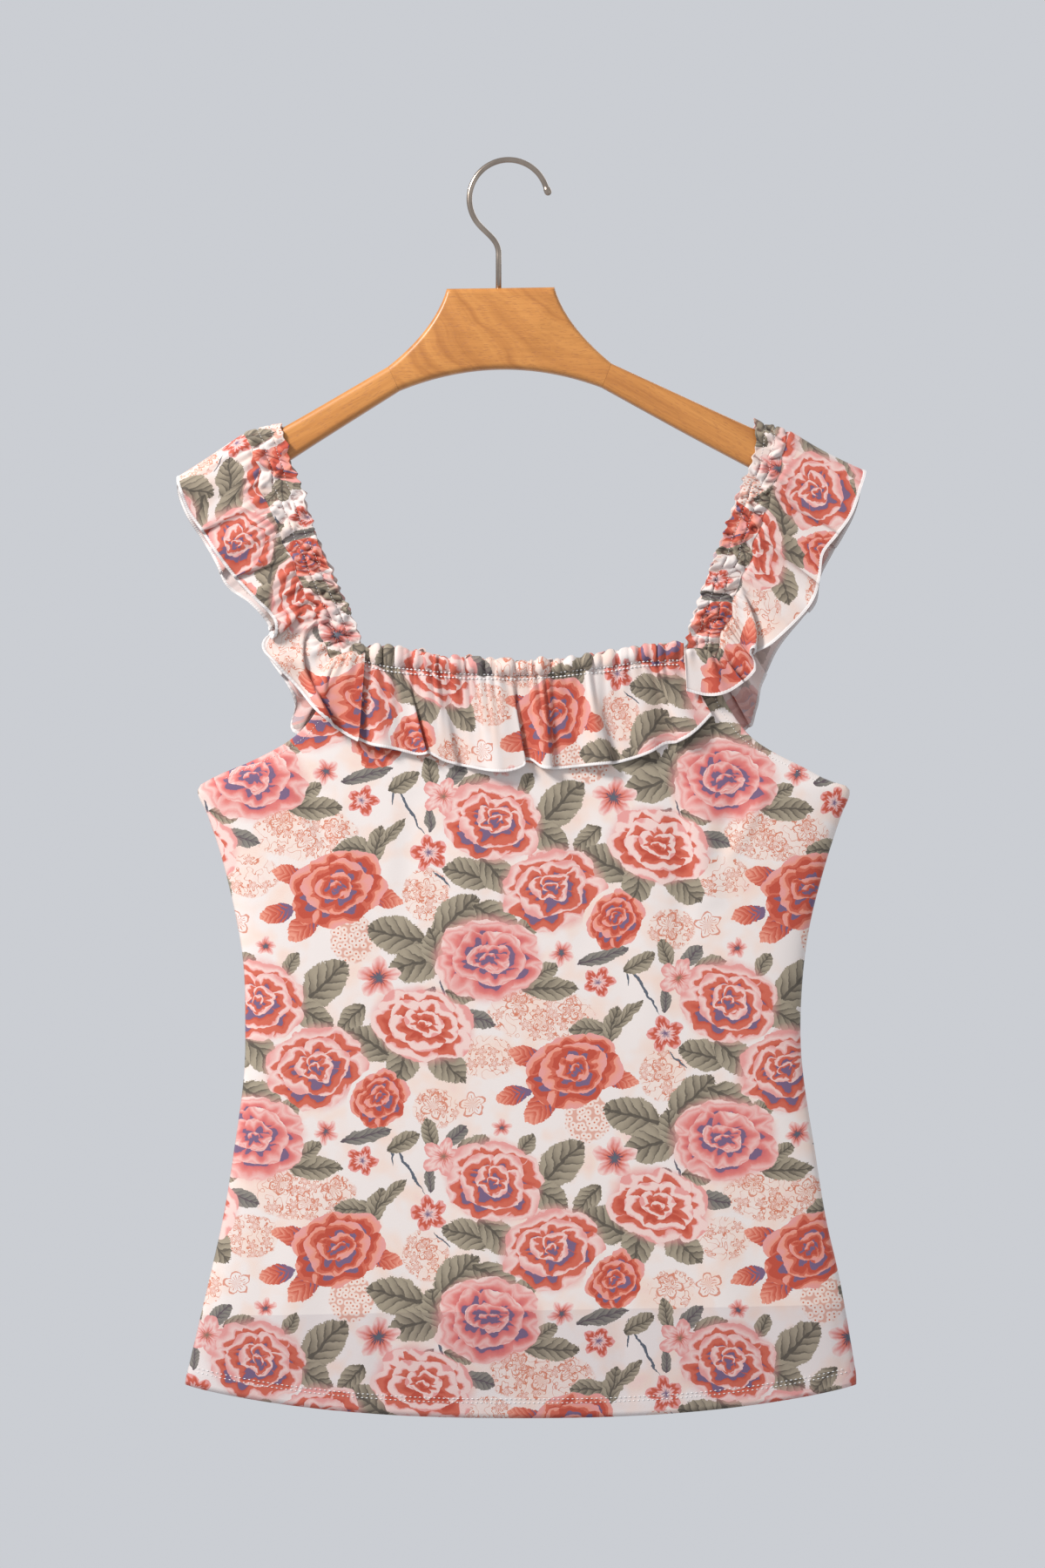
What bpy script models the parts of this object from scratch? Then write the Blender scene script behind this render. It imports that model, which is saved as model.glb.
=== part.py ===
"""Ruffled square-neck tank top on a wooden hanger.

The garment hangs flat from the hanger's arms. Its front faces -Y, +X is to the right as it is seen
from the front, and +Z is up. The origin is the inside of the hook's top, where a rail carries it.
"""

import math
from collections import namedtuple

import bmesh
import bpy
from mathutils import Vector

MM = 0.001  # metres in a millimetre: every size and place below is in millimetres

# ---- driving dimensions -------------------------------------------------------------------------

WALL = 1.5              # wall of every cloth piece
SEAM_GAP = 0.3          # between two pieces that are sewn together
HEM_WALL = 2.2          # the turned hem is two layers thick
HEM_DEPTH = 11.0        # from the hem's edge to its upper row of stitching

WIRE_RADIUS = 1.8       # steel wire of the hook
HOOK_RADIUS = 24.75     # centreline of the hook's round
HOOK_TIP_RADIUS = 2.3   # rounded end of the wire
SHAFT_X = -6.3          # the shaft stands beside the middle of the round
SHAFT_TOP_Z = -58.0
SHAFT_BOTTOM_Z = -98.0
HOOK_TIP_TURN = 22.0    # degrees from the round's right side, where the tip leaves it
HOOK_FOOT_TURN = 222.0  # and where the reverse bend does
HOOK_TIP_LENGTH = 7.5
HOOK_LEAD = 9.0         # length of the reverse bend's guides
WIRE_SIDES = 8

WOOD_HALF_THICKNESS = 6.5
WOOD_ROUND = 4.0        # radius along the wood's long edges
SOCKET_RADIUS = 2.2
SOCKET_BOTTOM_Z = -100.0
SOCKET_TOP_Z = -70.0    # the cutter stands above the block's flat top
SOCKET_SIDES = 12

STRAP_DEPTH = 8.0       # from the hanger's middle plane to the middle of a strap's wall
LAP_DEPTH = 9.0         # the same where the shoulder ruffle begins to lap over the body panel
CREST_HEIGHT = 6.0      # height of the round with which a strap passes over the arm
GATHERS_PER_LEVEL = 2   # gathers between two rows of a shoulder's table
STRAP_GATHER_RISE = 1.4
STRAP_SCALLOP = 1.2     # a gather pushes the strap's inner edge out by this much
STRAP_RELIEF = ((0.0, 0.5), (0.3, 1.0), (0.65, 0.8), (1.0, 0.3))  # share of width, of rise
RUFFLE_GATHER_RISE = 1.2
RUFFLE_FLARE = 2.0      # the free edge of a shoulder ruffle hangs this far out from its seam
GATHER_REACH = 0.75     # share of a shoulder ruffle's height over which its gathers die out
FLUTE_GROWTH = 0.8      # power with which a flute grows towards the free edge

NECK_GATHERS = 28       # puffs along the front neckline, and as many along the back
HEADER_RISE = 2.0       # a puff of the header frill stands this far out
HEADER_SCALLOP = 2.0    # and this far up
NECK_RUFFLE_ROOT = 9.0  # depth of the neck ruffle at its stitch line
NECK_RUFFLE_FLARE = 1.6
NECK_GATHER_REACH = 0.8
NECK_END = 0.06         # share of the neckline over which its two ends lie flat

BODY_COLUMNS = 22
BODY_ROWS = 24
SIDE_ROUND = 12         # powers of the rounded edge where front turns into back
SIDE_SWELL = 0.6
SAG_POWER = 2.4         # form of the line in which a level sags

# ---- tables -------------------------------------------------------------------------------------

# Body panel, a row for each level from the hem up. "sag" is how far the level's middle hangs below
# its two ends, "edge" and "middle" are its depths from the plane of the side seams.
Level = namedtuple("Level", "left_x left_z right_x right_z sag edge middle")
BODY_LEVELS = [
    Level(-204, -771, 219, -771, 20.0, 1.0, 9.5),
    Level(-201, -757, 218, -758, 19.0, 1.0, 9.5),
    Level(-189, -706, 209, -706, 16.0, 1.0, 9.5),
    Level(-180, -666, 200, -666, 13.0, 1.0, 9.3),
    Level(-173, -623, 193, -623, 10.0, 1.0, 9.1),
    Level(-167, -578, 186, -578, 7.0, 1.0, 9.0),
    Level(-166, -546, 184, -546, 5.0, 1.0, 9.0),
    Level(-167, -508, 186, -508, 4.0, 1.0, 8.9),
    Level(-172, -476, 191, -476, 3.0, 1.0, 8.7),
    Level(-180, -442, 200, -442, 2.5, 1.0, 8.4),
    Level(-189, -414, 209, -414, 2.0, 1.0, 8.1),
    Level(-196, -396, 215, -396, 2.0, 1.0, 7.9),
    Level(-183, -387, 201, -390, 3.0, 1.7, 7.8),
    Level(-164, -379, 186, -382, 4.5, 2.8, 7.7),
    Level(-146, -370, 168, -373, 6.5, 4.0, 7.6),
    Level(-133, -361, 153, -363, 7.5, 5.2, 7.4),
    Level(-122, -348, 141, -348, 8.0, 6.3, 7.3),
    Level(-114, -332, 133, -332, 9.0, 6.8, 7.2),
    Level(-112, -314, 130, -314, 11.5, 7.0, 7.2),
]
ARMHOLE_LEVEL = 11      # the row at the lower corner of the armholes

# Soft folds of the two body panels. "side" is -1 on the front and 1 on the back.
Drape = namedtuple("Drape", "side top_x top_z foot_x foot_z half_width rise")
BODY_DRAPES = [
    Drape(-1, 118, -392, 128, -470, 13, 1.3),
    Drape(-1, 84, -398, 92, -560, 22, 0.9),
    Drape(-1, -22, -402, -34, -520, 20, 0.8),
    Drape(-1, -112, -398, -98, -500, 16, 0.9),
    Drape(-1, -120, -640, -146, -770, 24, 1.1),
    Drape(-1, -20, -660, -30, -780, 28, 0.9),
    Drape(-1, 120, -640, 150, -770, 24, 1.1),
    Drape(1, -104, -396, -118, -500, 15, 1.2),
    Drape(1, -30, -400, -40, -560, 24, 0.8),
    Drape(1, 90, -398, 82, -520, 18, 1.0),
    Drape(1, -110, -650, -134, -770, 24, 1.0),
    Drape(1, 30, -660, 38, -782, 28, 0.9),
    Drape(1, 128, -640, 156, -770, 22, 1.1),
]

# Shoulders, a row for each level from the crest over the hanger's arm down to the neck's corner:
# the strap's inner edge, the seam between strap and ruffle, and the ruffle's free edge in front and
# at the back, which hangs a little differently.
Shoulder = namedtuple(
    "Shoulder", "inner_x inner_z seam_x seam_z front_x front_z back_x back_z")
LEFT_SHOULDER = [
    Shoulder(-144, -165, -166, -172, -209, -201, -209, -199),
    Shoulder(-140, -181, -161, -184, -207, -208, -210, -208),
    Shoulder(-136, -194, -157, -197, -202, -221, -204, -223),
    Shoulder(-131, -206, -155, -211, -193, -234, -195, -237),
    Shoulder(-125, -226, -147, -227, -183, -249, -186, -252),
    Shoulder(-120, -239, -140, -244, -173, -262, -179, -267),
    Shoulder(-112, -258, -133, -260, -160, -276, -164, -278),
    Shoulder(-107, -270, -128, -272, -150, -286, -153, -291),
    Shoulder(-102, -281, -123, -284, -147, -294, -154, -302),
    Shoulder(-97, -292, -119, -294, -155, -306, -153, -311),
    Shoulder(-94, -302, -116, -304, -147, -317, -144, -324),
    Shoulder(-91, -317, -112, -313, -133, -332, -136, -340),
]
RIGHT_SHOULDER = [
    Shoulder(156, -164, 176, -171, 225, -197, 223, -195),
    Shoulder(155, -181, 173, -183, 222, -206, 223, -208),
    Shoulder(152, -194, 170, -197, 216, -223, 219, -222),
    Shoulder(147, -206, 165, -210, 207, -236, 213, -234),
    Shoulder(141, -222, 160, -225, 198, -248, 205, -247),
    Shoulder(136, -236, 156, -238, 196, -263, 198, -261),
    Shoulder(131, -250, 151, -253, 191, -278, 195, -277),
    Shoulder(125, -263, 146, -265, 180, -291, 185, -289),
    Shoulder(121, -277, 142, -277, 166, -304, 172, -305),
    Shoulder(117, -287, 139, -287, 154, -311, 165, -319),
    Shoulder(114, -299, 135, -297, 155, -321, 160, -332),
    Shoulder(111, -317, 130, -313, 146, -330, 158, -344),
]

# Where the strap ends, the shoulder ruffle turns the neck's corner and laps over the neck ruffle.
Corner = namedtuple("Corner", "seam_x seam_z front_x front_z back_x back_z depth")
LEFT_CORNER = [
    Corner(-104, -318, -120, -347, -137, -357, 9.6),
    Corner(-97, -321, -106, -359, -117, -367, 11.4),
    Corner(-87, -322, -83, -369, -84, -372, 12.6),
]
RIGHT_CORNER = [
    Corner(125, -315, 135, -336, 153, -356, 10.0),
    Corner(118, -319, 124, -337, 136, -365, 12.4),
    Corner(111, -321, 112, -333, 112, -370, 13.2),
]

# Neck ruffle, a row for each place along the neckline from left to right: the stitch line, the top
# of the header frill above it, and the free edge.
Neck = namedtuple("Neck", "stitch_x stitch_z header_z edge_x edge_z")
NECK_RUFFLE = [
    Neck(-90, -317, -307, -87, -368),
    Neck(-76, -320, -307, -71, -371),
    Neck(-57, -322, -310, -52, -376),
    Neck(-35, -324, -314, -30, -381),
    Neck(-13, -325, -315, -6, -385),
    Neck(6, -325, -317, 12, -383),
    Neck(25, -324, -316, 31, -383),
    Neck(45, -322, -314, 51, -381),
    Neck(64, -320, -310, 70, -379),
    Neck(83, -317, -307, 92, -372),
    Neck(98, -316, -306, 113, -363),
    Neck(110, -316, -304, 128, -349),
]

# Flutes of the ruffles' free edges. "place" runs along the piece: from 0 at its left end or at the
# crest to 1 at its right end or at the neck's corner.
Flute = namedtuple("Flute", "place half_width rise")
FRONT_NECK_FLUTES = [
    Flute(0.12, 0.08, 2.6),
    Flute(0.27, 0.06, 1.6),
    Flute(0.42, 0.07, 3.4),
    Flute(0.56, 0.06, 1.8),
    Flute(0.69, 0.07, 2.6),
    Flute(0.82, 0.06, 1.9),
    Flute(0.93, 0.05, 1.4),
]
BACK_NECK_FLUTES = [
    Flute(0.09, 0.07, 2.0),
    Flute(0.22, 0.06, 3.0),
    Flute(0.36, 0.07, 1.7),
    Flute(0.50, 0.06, 3.2),
    Flute(0.63, 0.07, 2.2),
    Flute(0.78, 0.08, 2.9),
    Flute(0.92, 0.06, 1.6),
]
LEFT_FRONT_FLUTES = [
    Flute(0.10, 0.08, 2.0),
    Flute(0.27, 0.09, 3.4),
    Flute(0.42, 0.07, 1.8),
    Flute(0.56, 0.06, 4.0),
    Flute(0.72, 0.06, 2.2),
    Flute(0.86, 0.08, 3.6),
]
RIGHT_FRONT_FLUTES = [
    Flute(0.12, 0.09, 2.4),
    Flute(0.30, 0.07, 1.8),
    Flute(0.44, 0.08, 3.6),
    Flute(0.58, 0.07, 2.4),
    Flute(0.72, 0.05, 4.2),
    Flute(0.86, 0.08, 3.0),
]
SHOULDER_BACK_FLUTES = [
    Flute(0.08, 0.07, 2.2),
    Flute(0.22, 0.07, 3.2),
    Flute(0.37, 0.08, 2.0),
    Flute(0.52, 0.07, 3.8),
    Flute(0.67, 0.07, 2.4),
    Flute(0.82, 0.08, 3.4),
]

# Hanger arms: places on the upper and the lower edge, from the joint outwards.
Arm = namedtuple("Arm", "upper_x upper_z lower_x lower_z")
LEFT_ARM = [
    Arm(-76.3, -129.2, -69.3, -144.2),
    Arm(-123, -156.5, -118, -175),
    Arm(-166, -181, -160, -202),
    Arm(-192, -197, -188, -217),
]
RIGHT_ARM = [
    Arm(65.3, -127.2, 59.3, -142.2),
    Arm(130, -157, 119, -175),
    Arm(182, -181, 169, -201),
    Arm(206, -195, 197, -212),
]
ARM_END_STEPS = [(2.5, 0.93), (5.0, 0.74), (6.2, 0.45)]  # past the last place: distance, size

# Hanger block: the corner points of its outline, and the guides of its hollow sides.
BLOCK_LEFT_SIDE = [(-76, -129), (-58, -115), (-44, -98), (-39, -80)]
BLOCK_RIGHT_SIDE = [(29, -79), (34, -97), (48, -113), (65, -127)]
BLOCK_LEFT_FOOT = (-69, -144)
BLOCK_RIGHT_FOOT = (59, -142)
BLOCK_ARCH_RISE = 12.5

# ---- colours ------------------------------------------------------------------------------------

CREAM_PRINT = (0.86, 0.72, 0.67)
ROSE_PRINT = (0.80, 0.55, 0.50)
BEECH = (0.66, 0.36, 0.13)
STEEL = (0.62, 0.62, 0.62)


# ---- helpers ------------------------------------------------------------------------------------

def blend(low, high, share):
    return low + (high - low) * share


def ease(share):
    share = min(max(share, 0.0), 1.0)
    return share * share * (3.0 - 2.0 * share)


def bump(distance, half_width):
    """A soft rise of 1 in the middle that falls to 0 at half_width on both sides."""
    share = min(abs(distance) / half_width, 1.0)
    return 0.5 + 0.5 * math.cos(math.pi * share)


def between(rows, place):
    """The row at a place along a table (0 is its first row), on a smooth curve through the rows."""
    last = len(rows) - 1
    index = min(int(place), last - 1)
    share = place - index
    near = [rows[min(max(index + step, 0), last)] for step in (-1, 0, 1, 2)]
    values = []
    for before, start, end, after in zip(*near):
        slope_in = 0.5 * (end - before)
        slope_out = 0.5 * (after - start)
        bend = 3.0 * (end - start) - 2.0 * slope_in - slope_out
        twist = 2.0 * (start - end) + slope_in + slope_out
        values.append(start + share * (slope_in + share * (bend + share * twist)))
    return type(rows[0])(*values)


def bezier(guides, share):
    rest = 1.0 - share
    weights = (rest ** 3, 3 * rest * rest * share, 3 * rest * share * share, share ** 3)
    return tuple(sum(w * guide[axis] for w, guide in zip(weights, guides)) for axis in (0, 1))


def flute_rise(flutes, place):
    return sum(flute.rise * bump(place - flute.place, flute.half_width) for flute in flutes)


def material(name, colour, roughness, metallic=0.0):
    made = bpy.data.materials.new(name)
    made.use_nodes = True
    shader = made.node_tree.nodes["Principled BSDF"]
    shader.inputs["Base Color"].default_value = (*colour, 1.0)
    shader.inputs["Roughness"].default_value = roughness
    shader.inputs["Metallic"].default_value = metallic
    return made


def solid(name, points, faces, look, sharp_angle=40.0):
    """One closed body from points in millimetres, its faces turned outwards."""
    mesh = bpy.data.meshes.new(name)
    mesh.from_pydata([Vector(point) * MM for point in points], [], faces)
    body = bmesh.new()
    body.from_mesh(mesh)
    if body.calc_volume(signed=True) < 0.0:
        bmesh.ops.reverse_faces(body, faces=body.faces)
    body.to_mesh(mesh)
    body.free()
    mesh.shade_smooth()
    mesh.set_sharp_from_angle(angle=math.radians(sharp_angle))
    mesh.materials.append(look)
    made = bpy.data.objects.new(name, mesh)
    bpy.context.scene.collection.objects.link(made)
    return made


def tube_faces(rings, sides):
    """Faces between closed rings of points, and a cap on each end."""
    faces = [tuple(range(sides - 1, -1, -1))]
    for ring in range(rings - 1):
        for side in range(sides):
            after = (side + 1) % sides
            base = ring * sides
            faces.append((base + side, base + after, base + sides + after, base + sides + side))
    faces.append(tuple(range((rings - 1) * sides, rings * sides)))
    return faces


# ---- cloth --------------------------------------------------------------------------------------

def sheet_normals(middle, side):
    """Unit normals of a grid of points, turned to the front (side -1) or to the back (side 1)."""
    rows = len(middle)
    columns = len(middle[0])
    normals = []
    for row in range(rows):
        line = []
        for column in range(columns):
            along = middle[min(row + 1, rows - 1)][column] - middle[max(row - 1, 0)][column]
            across = middle[row][min(column + 1, columns - 1)] - middle[row][max(column - 1, 0)]
            normal = along.cross(across).normalized()
            line.append(normal if normal.y * side > 0.0 else -normal)
        normals.append(line)
    return normals


def cloth(name, middle, normals, look, wall=None, outer_rise=None):
    """A wall of cloth on both sides of a grid of middle points.

    wall is a thickness for each row. outer_rise moves the outer face alone, which leaves the inner
    face plain under gathers.
    """
    rows = len(middle)
    columns = len(middle[0])
    wall = wall or [WALL] * rows
    points = []
    for turn in (1.0, -1.0):
        for row in range(rows):
            for column in range(columns):
                reach = 0.5 * wall[row]
                if outer_rise and turn > 0.0:
                    reach += outer_rise[row][column]
                points.append(middle[row][column] + normals[row][column] * (turn * reach))
    size = rows * columns

    def corner(row, column, inner):
        return row * columns + column + (size if inner else 0)

    faces = []
    for row in range(rows - 1):
        for column in range(columns - 1):
            quad = [(row, column), (row, column + 1), (row + 1, column + 1), (row + 1, column)]
            faces.append([corner(*place, False) for place in quad])
            faces.append([corner(*place, True) for place in reversed(quad)])
    rim = [(0, column) for column in range(columns)]
    rim += [(row, columns - 1) for row in range(1, rows)]
    rim += [(rows - 1, column) for column in range(columns - 2, -1, -1)]
    rim += [(row, 0) for row in range(rows - 2, 0, -1)]
    for place, after in zip(rim, rim[1:] + rim[:1]):
        faces.append([corner(*after, False), corner(*place, False),
                      corner(*place, True), corner(*after, True)])
    return solid(name, points, faces, look)


# ---- body panels --------------------------------------------------------------------------------

def body_point(place, across, side):
    """A point of a body panel's middle surface, across from -1 at the left seam to 1."""
    level = between(BODY_LEVELS, place)
    share = 0.5 + 0.5 * across
    x = blend(level.left_x, level.right_x, share)
    z = blend(level.left_z, level.right_z, share)
    z -= level.sag * (1.0 - abs(across) ** SAG_POWER)
    fullness = (1.0 - abs(across) ** SIDE_ROUND) ** SIDE_SWELL
    depth = blend(level.edge, level.middle, fullness)
    for drape in BODY_DRAPES:
        if drape.side == side:
            down = (z - drape.top_z) / (drape.foot_z - drape.top_z)
            if 0.0 < down < 1.0:
                fold_x = blend(drape.top_x, drape.foot_x, down)
                fade = math.sin(math.pi * down) ** 0.5
                depth += drape.rise * fade * bump(x - fold_x, drape.half_width) * fullness
    return Vector((x, side * depth, z))


def body_panel(name, side, look):
    """Front or back: a hem row, then levels up past the armholes to the neck seam."""
    hem_top = HEM_DEPTH / (BODY_LEVELS[1].left_z - BODY_LEVELS[0].left_z)
    places = [0.0, hem_top, hem_top + 0.06]
    armhole_rows = 9
    below = BODY_ROWS - armhole_rows - len(places)
    for step in range(1, below + 1):
        places.append(blend(places[2], ARMHOLE_LEVEL, step / below))
    top = len(BODY_LEVELS) - 1
    for step in range(1, armhole_rows + 1):
        places.append(blend(ARMHOLE_LEVEL, top, step / armhole_rows))
    middle = []
    for place in places:
        row = []
        for column in range(BODY_COLUMNS + 1):
            across = math.sin(0.5 * math.pi * (2.0 * column / BODY_COLUMNS - 1.0))
            row.append(body_point(place, across, side))
        middle.append(row)
    wall = [HEM_WALL, HEM_WALL] + [WALL] * (len(places) - 2)
    return cloth(name, middle, sheet_normals(middle, side), look, wall)


# ---- shoulders ----------------------------------------------------------------------------------

def crest_depth(drop, reach):
    """Depth of cloth that has fallen this far from the crest, on a round of CREST_HEIGHT."""
    share = 1.0 - min(max(drop, 0.0) / CREST_HEIGHT, 1.0)
    return reach * math.sqrt(1.0 - share * share)


def crest_normal(drop, side):
    share = 1.0 - min(max(drop, 0.0) / CREST_HEIGHT, 1.0)
    return Vector((0.0, side * math.sqrt(1.0 - share * share), share))


def shoulder_places(rows):
    """Places from the back's foot over the crest to the front's foot, as (side, place)."""
    places = [0.05, 0.16]
    step = 0.5 / GATHERS_PER_LEVEL
    while places[-1] + step < rows - 1 - 0.5 * step:
        places.append(places[-1] + step)
    places.append(rows - 1)
    back = [(1, place) for place in reversed(places)]
    front = [(-1, place) for place in places]
    return back + [(-1, 0.0)] + front


def strap(name, table, look):
    """A shirred band: plain inside, gathered outside, an inverted U over the hanger's arm."""
    middle = []
    normals = []
    rises = []
    crest = table[0]
    for index, (side, place) in enumerate(shoulder_places(len(table))):
        row = between(table, place)
        ridge = index % 2
        line = []
        turned = []
        raised = []
        for share, height in STRAP_RELIEF:
            width = abs(row.seam_x - row.inner_x)
            if share == 0.0:
                share = -STRAP_SCALLOP * ridge / width
            share = min(share, 1.0 - SEAM_GAP / width)
            x = blend(row.inner_x, row.seam_x, share)
            z = blend(row.inner_z, row.seam_z, share)
            drop = blend(crest.inner_z, crest.seam_z, share) - z
            line.append(Vector((x, side * crest_depth(drop, STRAP_DEPTH), z)))
            turned.append(crest_normal(drop, side))
            raised.append(STRAP_GATHER_RISE * height * ridge)
        middle.append(line)
        normals.append(turned)
        rises.append(raised)
    return cloth(name, middle, normals, look, outer_rise=rises)


def shoulder_ruffle(name, table, corner, front_flutes, look):
    """The ruffle beside a strap, from the back's corner over the arm to the front's corner."""
    depths = [STRAP_DEPTH] * (len(table) - 1) + [LAP_DEPTH]
    rows = [Corner(row.seam_x, row.seam_z, row.front_x, row.front_z, row.back_x, row.back_z, depth)
            for row, depth in zip(table, depths)] + corner
    crest = rows[0]
    last = len(rows) - 1
    shares = (0.0, 0.22, 0.5, 0.78, 1.0)
    middle = []
    normals = []
    for index, (side, place) in enumerate(shoulder_places(len(rows))):
        row = between(rows, place)
        flutes = front_flutes if side < 0 else SHOULDER_BACK_FLUTES
        edge_x = row.front_x if side < 0 else row.back_x
        edge_z = row.front_z if side < 0 else row.back_z
        crest_z = crest.front_z if side < 0 else crest.back_z
        if place == 0.0:
            edge_z = max(crest.front_z, crest.back_z)
        line = []
        turned = []
        for share in shares:
            x = blend(row.seam_x, edge_x, share)
            z = blend(row.seam_z, edge_z, share)
            drop = blend(crest.seam_z, crest_z, share) - z
            flare = RUFFLE_FLARE * share
            flare += flute_rise(flutes, place / last) * share ** FLUTE_GROWTH
            if share > 0.0:
                gather = max(0.0, 1.0 - share / GATHER_REACH)
                flare += RUFFLE_GATHER_RISE * (index % 2) * gather
            reach = row.depth + flare * min(1.0, max(drop, 0.0) / CREST_HEIGHT)
            line.append(Vector((x, side * crest_depth(drop, reach), z)))
            turned.append(crest_normal(drop, side))
        middle.append(line)
        normals.append(turned)
    return cloth(name, middle, normals, look)


# ---- neck ruffles -------------------------------------------------------------------------------

def neck_ruffle(name, side, flutes, look):
    """Header frill, stitch line and hanging ruffle in one strip, two columns to a gather."""
    levels = (-1.0, -0.45, 0.0, 0.14, 0.38, 0.68, 1.0)
    columns = 2 * NECK_GATHERS
    middle = []
    for level in levels:
        line = []
        for column in range(columns + 1):
            along = column / columns
            row = between(NECK_RUFFLE, along * (len(NECK_RUFFLE) - 1))
            puff = float(column % 2)
            ends = ease(min(along, 1.0 - along) / NECK_END)
            if level <= 0.0:
                x = row.stitch_x
                z = blend(row.stitch_z, row.header_z + HEADER_SCALLOP * (puff - 0.5), -level)
                depth = NECK_RUFFLE_ROOT + HEADER_RISE * puff * -level * ends
            else:
                x = blend(row.stitch_x, row.edge_x, level)
                z = blend(row.stitch_z, row.edge_z, level)
                gather = RUFFLE_GATHER_RISE * puff * max(0.0, 1.0 - level / NECK_GATHER_REACH)
                depth = NECK_RUFFLE_ROOT + NECK_RUFFLE_FLARE * level
                depth += (gather + flute_rise(flutes, along) * level ** FLUTE_GROWTH) * ends
            line.append(Vector((x, side * depth, z)))
        middle.append(line)
    return cloth(name, middle, sheet_normals(middle, side), look)


# ---- hanger -------------------------------------------------------------------------------------

def wood_ring(upper, lower, size=1.0):
    """A rounded rectangle between an upper and a lower place, as thick as the wood."""
    centre_x = 0.5 * (upper[0] + lower[0])
    centre_z = 0.5 * (upper[1] + lower[1])
    rise_x = upper[0] - centre_x
    rise_z = upper[1] - centre_z
    half_height = math.hypot(rise_x, rise_z)
    ring = []
    for turn_y, turn_z, start in ((1, 1, 0), (-1, 1, 90), (-1, -1, 180), (1, -1, 270)):
        for step in range(3):
            angle = math.radians(start + 45.0 * step)
            across = (WOOD_HALF_THICKNESS - WOOD_ROUND) * turn_y + WOOD_ROUND * math.cos(angle)
            up = (half_height - WOOD_ROUND) * turn_z + WOOD_ROUND * math.sin(angle)
            share = size * up / half_height
            ring.append((centre_x + rise_x * share, size * across, centre_z + rise_z * share))
    return ring


def wood_bar(name, stations, look):
    points = []
    for upper, lower, size in stations:
        points += wood_ring(upper, lower, size)
    sides = len(points) // len(stations)
    return solid(name, points, tube_faces(len(stations), sides), look)


def hanger_arm(name, table, look):
    """A straight beech arm with rounded edges and a rounded end."""
    steps = 5
    stations = []
    for index in range(steps + 1):
        row = between(table, (len(table) - 1) * index / steps)
        stations.append(((row.upper_x, row.upper_z), (row.lower_x, row.lower_z), 1.0))
    first = table[-2]
    last = table[-1]
    run = Vector((last.upper_x - first.upper_x, last.upper_z - first.upper_z)).normalized()
    for distance, size in ARM_END_STEPS:
        step_x = run.x * distance
        step_z = run.y * distance
        upper = (last.upper_x + step_x, last.upper_z + step_z)
        lower = (last.lower_x + step_x, last.lower_z + step_z)
        stations.append((upper, lower, size))
    return wood_bar(name, stations, look)


def hanger_block(name, look):
    """The middle block: hollow sides, a flat top, an arched underside and the hook's socket."""
    steps = 6
    uppers = [bezier(BLOCK_LEFT_SIDE, index / steps) for index in range(steps + 1)]
    left_top = BLOCK_LEFT_SIDE[-1]
    right_top = BLOCK_RIGHT_SIDE[0]
    for share in (0.06, 0.35, 0.65, 0.94):
        uppers.append((blend(left_top[0], right_top[0], share),
                       blend(left_top[1], right_top[1], share)))
    uppers += [bezier(BLOCK_RIGHT_SIDE, index / steps) for index in range(steps + 1)]
    stations = []
    for index, upper in enumerate(uppers):
        share = index / (len(uppers) - 1)
        arch = BLOCK_ARCH_RISE * (1.0 - (2.0 * share - 1.0) ** 2)
        lower = (blend(BLOCK_LEFT_FOOT[0], BLOCK_RIGHT_FOOT[0], share),
                 blend(BLOCK_LEFT_FOOT[1], BLOCK_RIGHT_FOOT[1], share) + arch)
        stations.append((upper, lower, 1.0))
    block = wood_bar(name, stations, look)
    ring = [(SHAFT_X + SOCKET_RADIUS * math.cos(math.tau * side / SOCKET_SIDES),
             SOCKET_RADIUS * math.sin(math.tau * side / SOCKET_SIDES))
            for side in range(SOCKET_SIDES)]
    points = [(x, y, SOCKET_BOTTOM_Z) for x, y in ring]
    points += [(x, y, SOCKET_TOP_Z) for x, y in ring]
    cutter = solid("socket_cutter", points, tube_faces(2, SOCKET_SIDES), look)
    cutter.hide_render = True
    cutter.display_type = "WIRE"
    cut = block.modifiers.new("socket", "BOOLEAN")
    cut.operation = "DIFFERENCE"
    cut.object = cutter
    return block


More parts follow.
